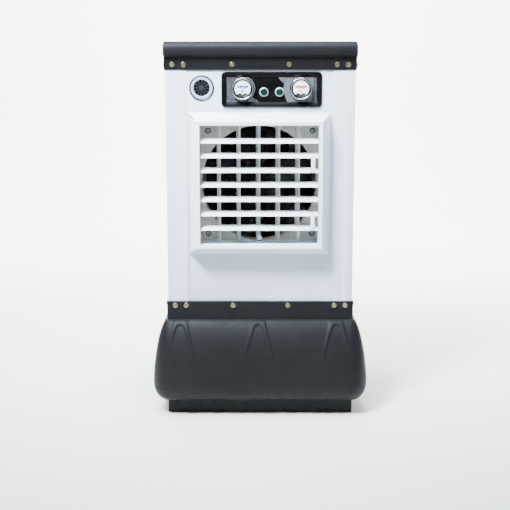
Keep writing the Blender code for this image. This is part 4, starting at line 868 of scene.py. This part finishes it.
def build_lamp(node, kit):
    """A pale collar with a stepped rim round a domed green lens, with a gloss black ring of painted shade
    between them.
    """
    place = (LAMP_XS[node], SEAT, LAMP_Z)
    collar = [(0.0082, 0.0004), (0.0148, 0.0), (0.0152, 0.0006), (0.0152, 0.0024), (0.0146, 0.0038),
              (0.0132, 0.0056), (0.0116, 0.0066), (0.0100, 0.0068), (0.0091, 0.0064), (0.0087, 0.0056),
              (0.0085, 0.0040)]
    bm = bmesh.new()
    front_disc(bm, collar, place, 64)
    add_piece(f"{node}_collar", bm, kit["ring"], "cabinet", node, angle=50.0)
    # A gloss black ring inside the collar: painted shade for its darker inner bevel.
    shade = [(0.0083, 0.0010), (0.0106, 0.0066), (0.0106, 0.0074), (0.0092, 0.0076), (0.0083, 0.0068)]
    bm = bmesh.new()
    front_disc(bm, shade, place, 64)
    add_piece(f"{node}_painted_shade_ring", bm, kit["gloss_black"], "cabinet", angle=50.0)
    turns = [math.radians(a) for a in range(12, 90, 13)]
    dome = [(0, 0.0006), (0.0084, 0.0006), (0.0084, 0.0050)]
    dome += [(0.0084 * math.cos(t), 0.0050 + 0.0019 * math.sin(t)) for t in turns]
    dome += [(0, 0.0069)]
    bm = bmesh.new()
    front_disc(bm, dome, place, 48)
    add_piece(f"{node}_lens", bm, kit["lens"], "cabinet", angle=50.0)


def build_badge(kit):
    """A plain round vent-like badge: grey rim, pale ring, and a dark disc with straight fins."""
    low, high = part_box("round_badge")
    x, z, back = (low.x + high.x) / 2, (low.z + high.z) / 2, high.y
    place = (x, back, z)
    ring = [(0.0340, 0.0), (0.0400, 0.0), (0.0405, 0.0006), (0.0403, 0.0020), (0.0392, 0.0029),
            (0.0376, 0.0030), (0.0362, 0.0024), (0.0350, 0.0018), (0.0340, 0.0016)]
    bm = bmesh.new()
    front_disc(bm, ring, place)
    add_piece("badge_rim", bm, kit["badge"], "cabinet", "round_badge", angle=50.0)
    band = [(0.0262, 0.0002), (0.0342, 0.0002), (0.0345, 0.0019), (0.0330, 0.0024), (0.0290, 0.0024),
            (0.0275, 0.0020), (0.0264, 0.0014)]
    bm = bmesh.new()
    front_disc(bm, band, place)
    add_piece("badge_band", bm, kit["pale"], "cabinet", angle=50.0)
    bm = bmesh.new()
    front_disc(bm, [(0, 0.0002), (0.0266, 0.0002), (0.0266, 0.0009), (0, 0.0009)], place, 64)
    add_piece("badge_disc", bm, kit["black"], "cabinet", angle=50.0)
    fins = bmesh.new()
    spots = [(0.0014, 0.0072), (0.0046, 0.0245), (-0.0010, 0.0250), (-0.0004, 0.0072)]
    for k in range(BADGE_FINS):
        turn = Matrix.Rotation(2 * math.pi * k / BADGE_FINS, 3, "Y")
        front = [Vector((x, back - 0.0024, z)) + turn @ Vector((u, 0, v)) for u, v in spots]
        base = [point + Vector((0, 0.0016, 0)) for point in front]
        skin(fins, [front, base])
    hub = [(0, 0.0004), (0.0072, 0.0004), (0.0070, 0.0024), (0.0050, 0.0029), (0, 0.0030)]
    front_disc(fins, hub, place, 40)
    add_piece("badge_fins", fins, kit["badge_fin"], "cabinet", bevel=0.0003, angle=30.0)


def build_controls(kit):
    """Everything on the control panel, the badge beside it, and the switch box behind."""
    build_bezel(kit)
    for node, ink in (("speed_knob", "blue"), ("pump_knob", "red")):
        build_knob(node, ink, kit)
    for node in LAMP_XS:
        build_lamp(node, kit)
    build_badge(kit)
    refine("switch_box", kit["black"], 0.0006)


def build_inside(kit):
    """Water parts, drain and gland. The pads stay as the CAD's meshes with a fibre finish."""
    finishes = {"water_pump": "black", "distributor_pipe": "grille", "riser_hose": "hose",
                "drain_cap": "black", "cable_gland": "black"}
    for node, name in finishes.items():
        refine(node, kit[name], 0.0006, 2, 35.0)
    for node in ("left_pad", "right_pad", "rear_pad"):
        slots = frame["nodes"][node].data.materials
        slots.clear()
        slots.append(kit["pad"])


# ---- camera, light and stage ------------------------------------------------------------------
def add_area(name, place, target, size, power, colour=(1, 1, 1), spread=180):
    """A rectangular lamp aimed at a point."""
    light = bpy.data.lights.new(name, "AREA")
    light.shape = "RECTANGLE"
    light.size, light.size_y = size
    light.energy = power
    light.color = colour
    light.spread = math.radians(spread)
    obj = bpy.data.objects.new(name, light)
    obj.location = place
    obj.rotation_euler = (Vector(target) - Vector(place)).to_track_quat("-Z", "Y").to_euler()
    bpy.context.scene.collection.objects.link(obj)


def build_camera():
    """The camera, in front of the cooler and looking slightly down."""
    camera = bpy.data.cameras.new("camera")
    camera.lens = CAMERA_LENS
    camera.sensor_width = SENSOR_WIDTH
    obj = bpy.data.objects.new("camera", camera)
    obj.location = CAMERA_PLACE
    obj.rotation_euler = (math.pi / 2 + CAMERA_PITCH, 0, 0)
    bpy.context.scene.collection.objects.link(obj)
    bpy.context.scene.camera = obj


def build_floor():
    """A pale paper floor that sweeps up into a backdrop."""
    bm = bmesh.new()
    profile = [(-FLOOR_HALF, 0.0), (WALL_Y - SWEEP_R, 0.0)]
    profile += arc(WALL_Y - SWEEP_R, SWEEP_R, SWEEP_R, -84, 0, 14) + [(WALL_Y, WALL_HIGH)]
    rows = [[bm.verts.new((side * FLOOR_HALF, y, z)) for y, z in profile] for side in (-1, 1)]
    for i in range(len(profile) - 1):
        bm.faces.new((rows[0][i], rows[1][i], rows[1][i + 1], rows[0][i + 1]))
    mesh = bpy.data.meshes.new("floor")
    bm.to_mesh(mesh)
    bm.free()
    mesh.shade_smooth()
    paper = Finish("floor_paper", (0.80, 0.785, 0.76), 0.9, specular=0.1)
    paper.tint(paper.noise(3.0), (0.79, 0.775, 0.75)).bump(paper.noise(60.0), 0.001, 0.05)
    mesh.materials.append(paper.material)
    floor = bpy.data.objects.new("floor", mesh)
    bpy.context.scene.collection.objects.link(floor)


def build_lights():
    """A warm dim room, a key from the upper left, a weak fill, a top light, and lights behind."""
    world = bpy.data.worlds.new("studio")
    world.use_nodes = True
    sky = world.node_tree.nodes["Background"]
    sky.inputs["Color"].default_value = (1.0, 0.965, 0.91, 1)
    sky.inputs["Strength"].default_value = 0.25
    bpy.context.scene.world = world
    add_area("key", (-1.1, -1.9, 3.1), (0, 0, 0.75), (0.8, 0.8), 104, (0.84, 0.93, 1.0), 75)
    add_area("fill", (3.2, -3.4, 2.2), (0, 0, 0.7), (2.4, 2.4), 21, (1.0, 0.97, 0.93))
    add_area("top", (0.0, -0.9, 3.4), (0, -0.2, 0.9), (1.6, 1.2), 46, (0.78, 0.90, 1.0), 80)
    add_area("rear_left", (-3.2, 3.2, 3.4), (0, 0, 0.7), (2.2, 2.2), 200)
    add_area("rear_right", (3.2, 3.4, 2.8), (0, 0, 0.7), (2.2, 2.2), 170)
    add_area("backdrop", (0.0, 2.4, 5.0), (0, 7.0, 2.0), (8.0, 2.0), 3600, (0.96, 0.98, 1.0))


build_camera()
build_floor()
build_lights()
KIT = make_materials()
build_stand(KIT)
build_tank(KIT)
build_panels(KIT)
build_cap(KIT)
build_outlet(KIT)
build_fan(KIT)
build_controls(KIT)
build_screws(KIT)
build_inside(KIT)
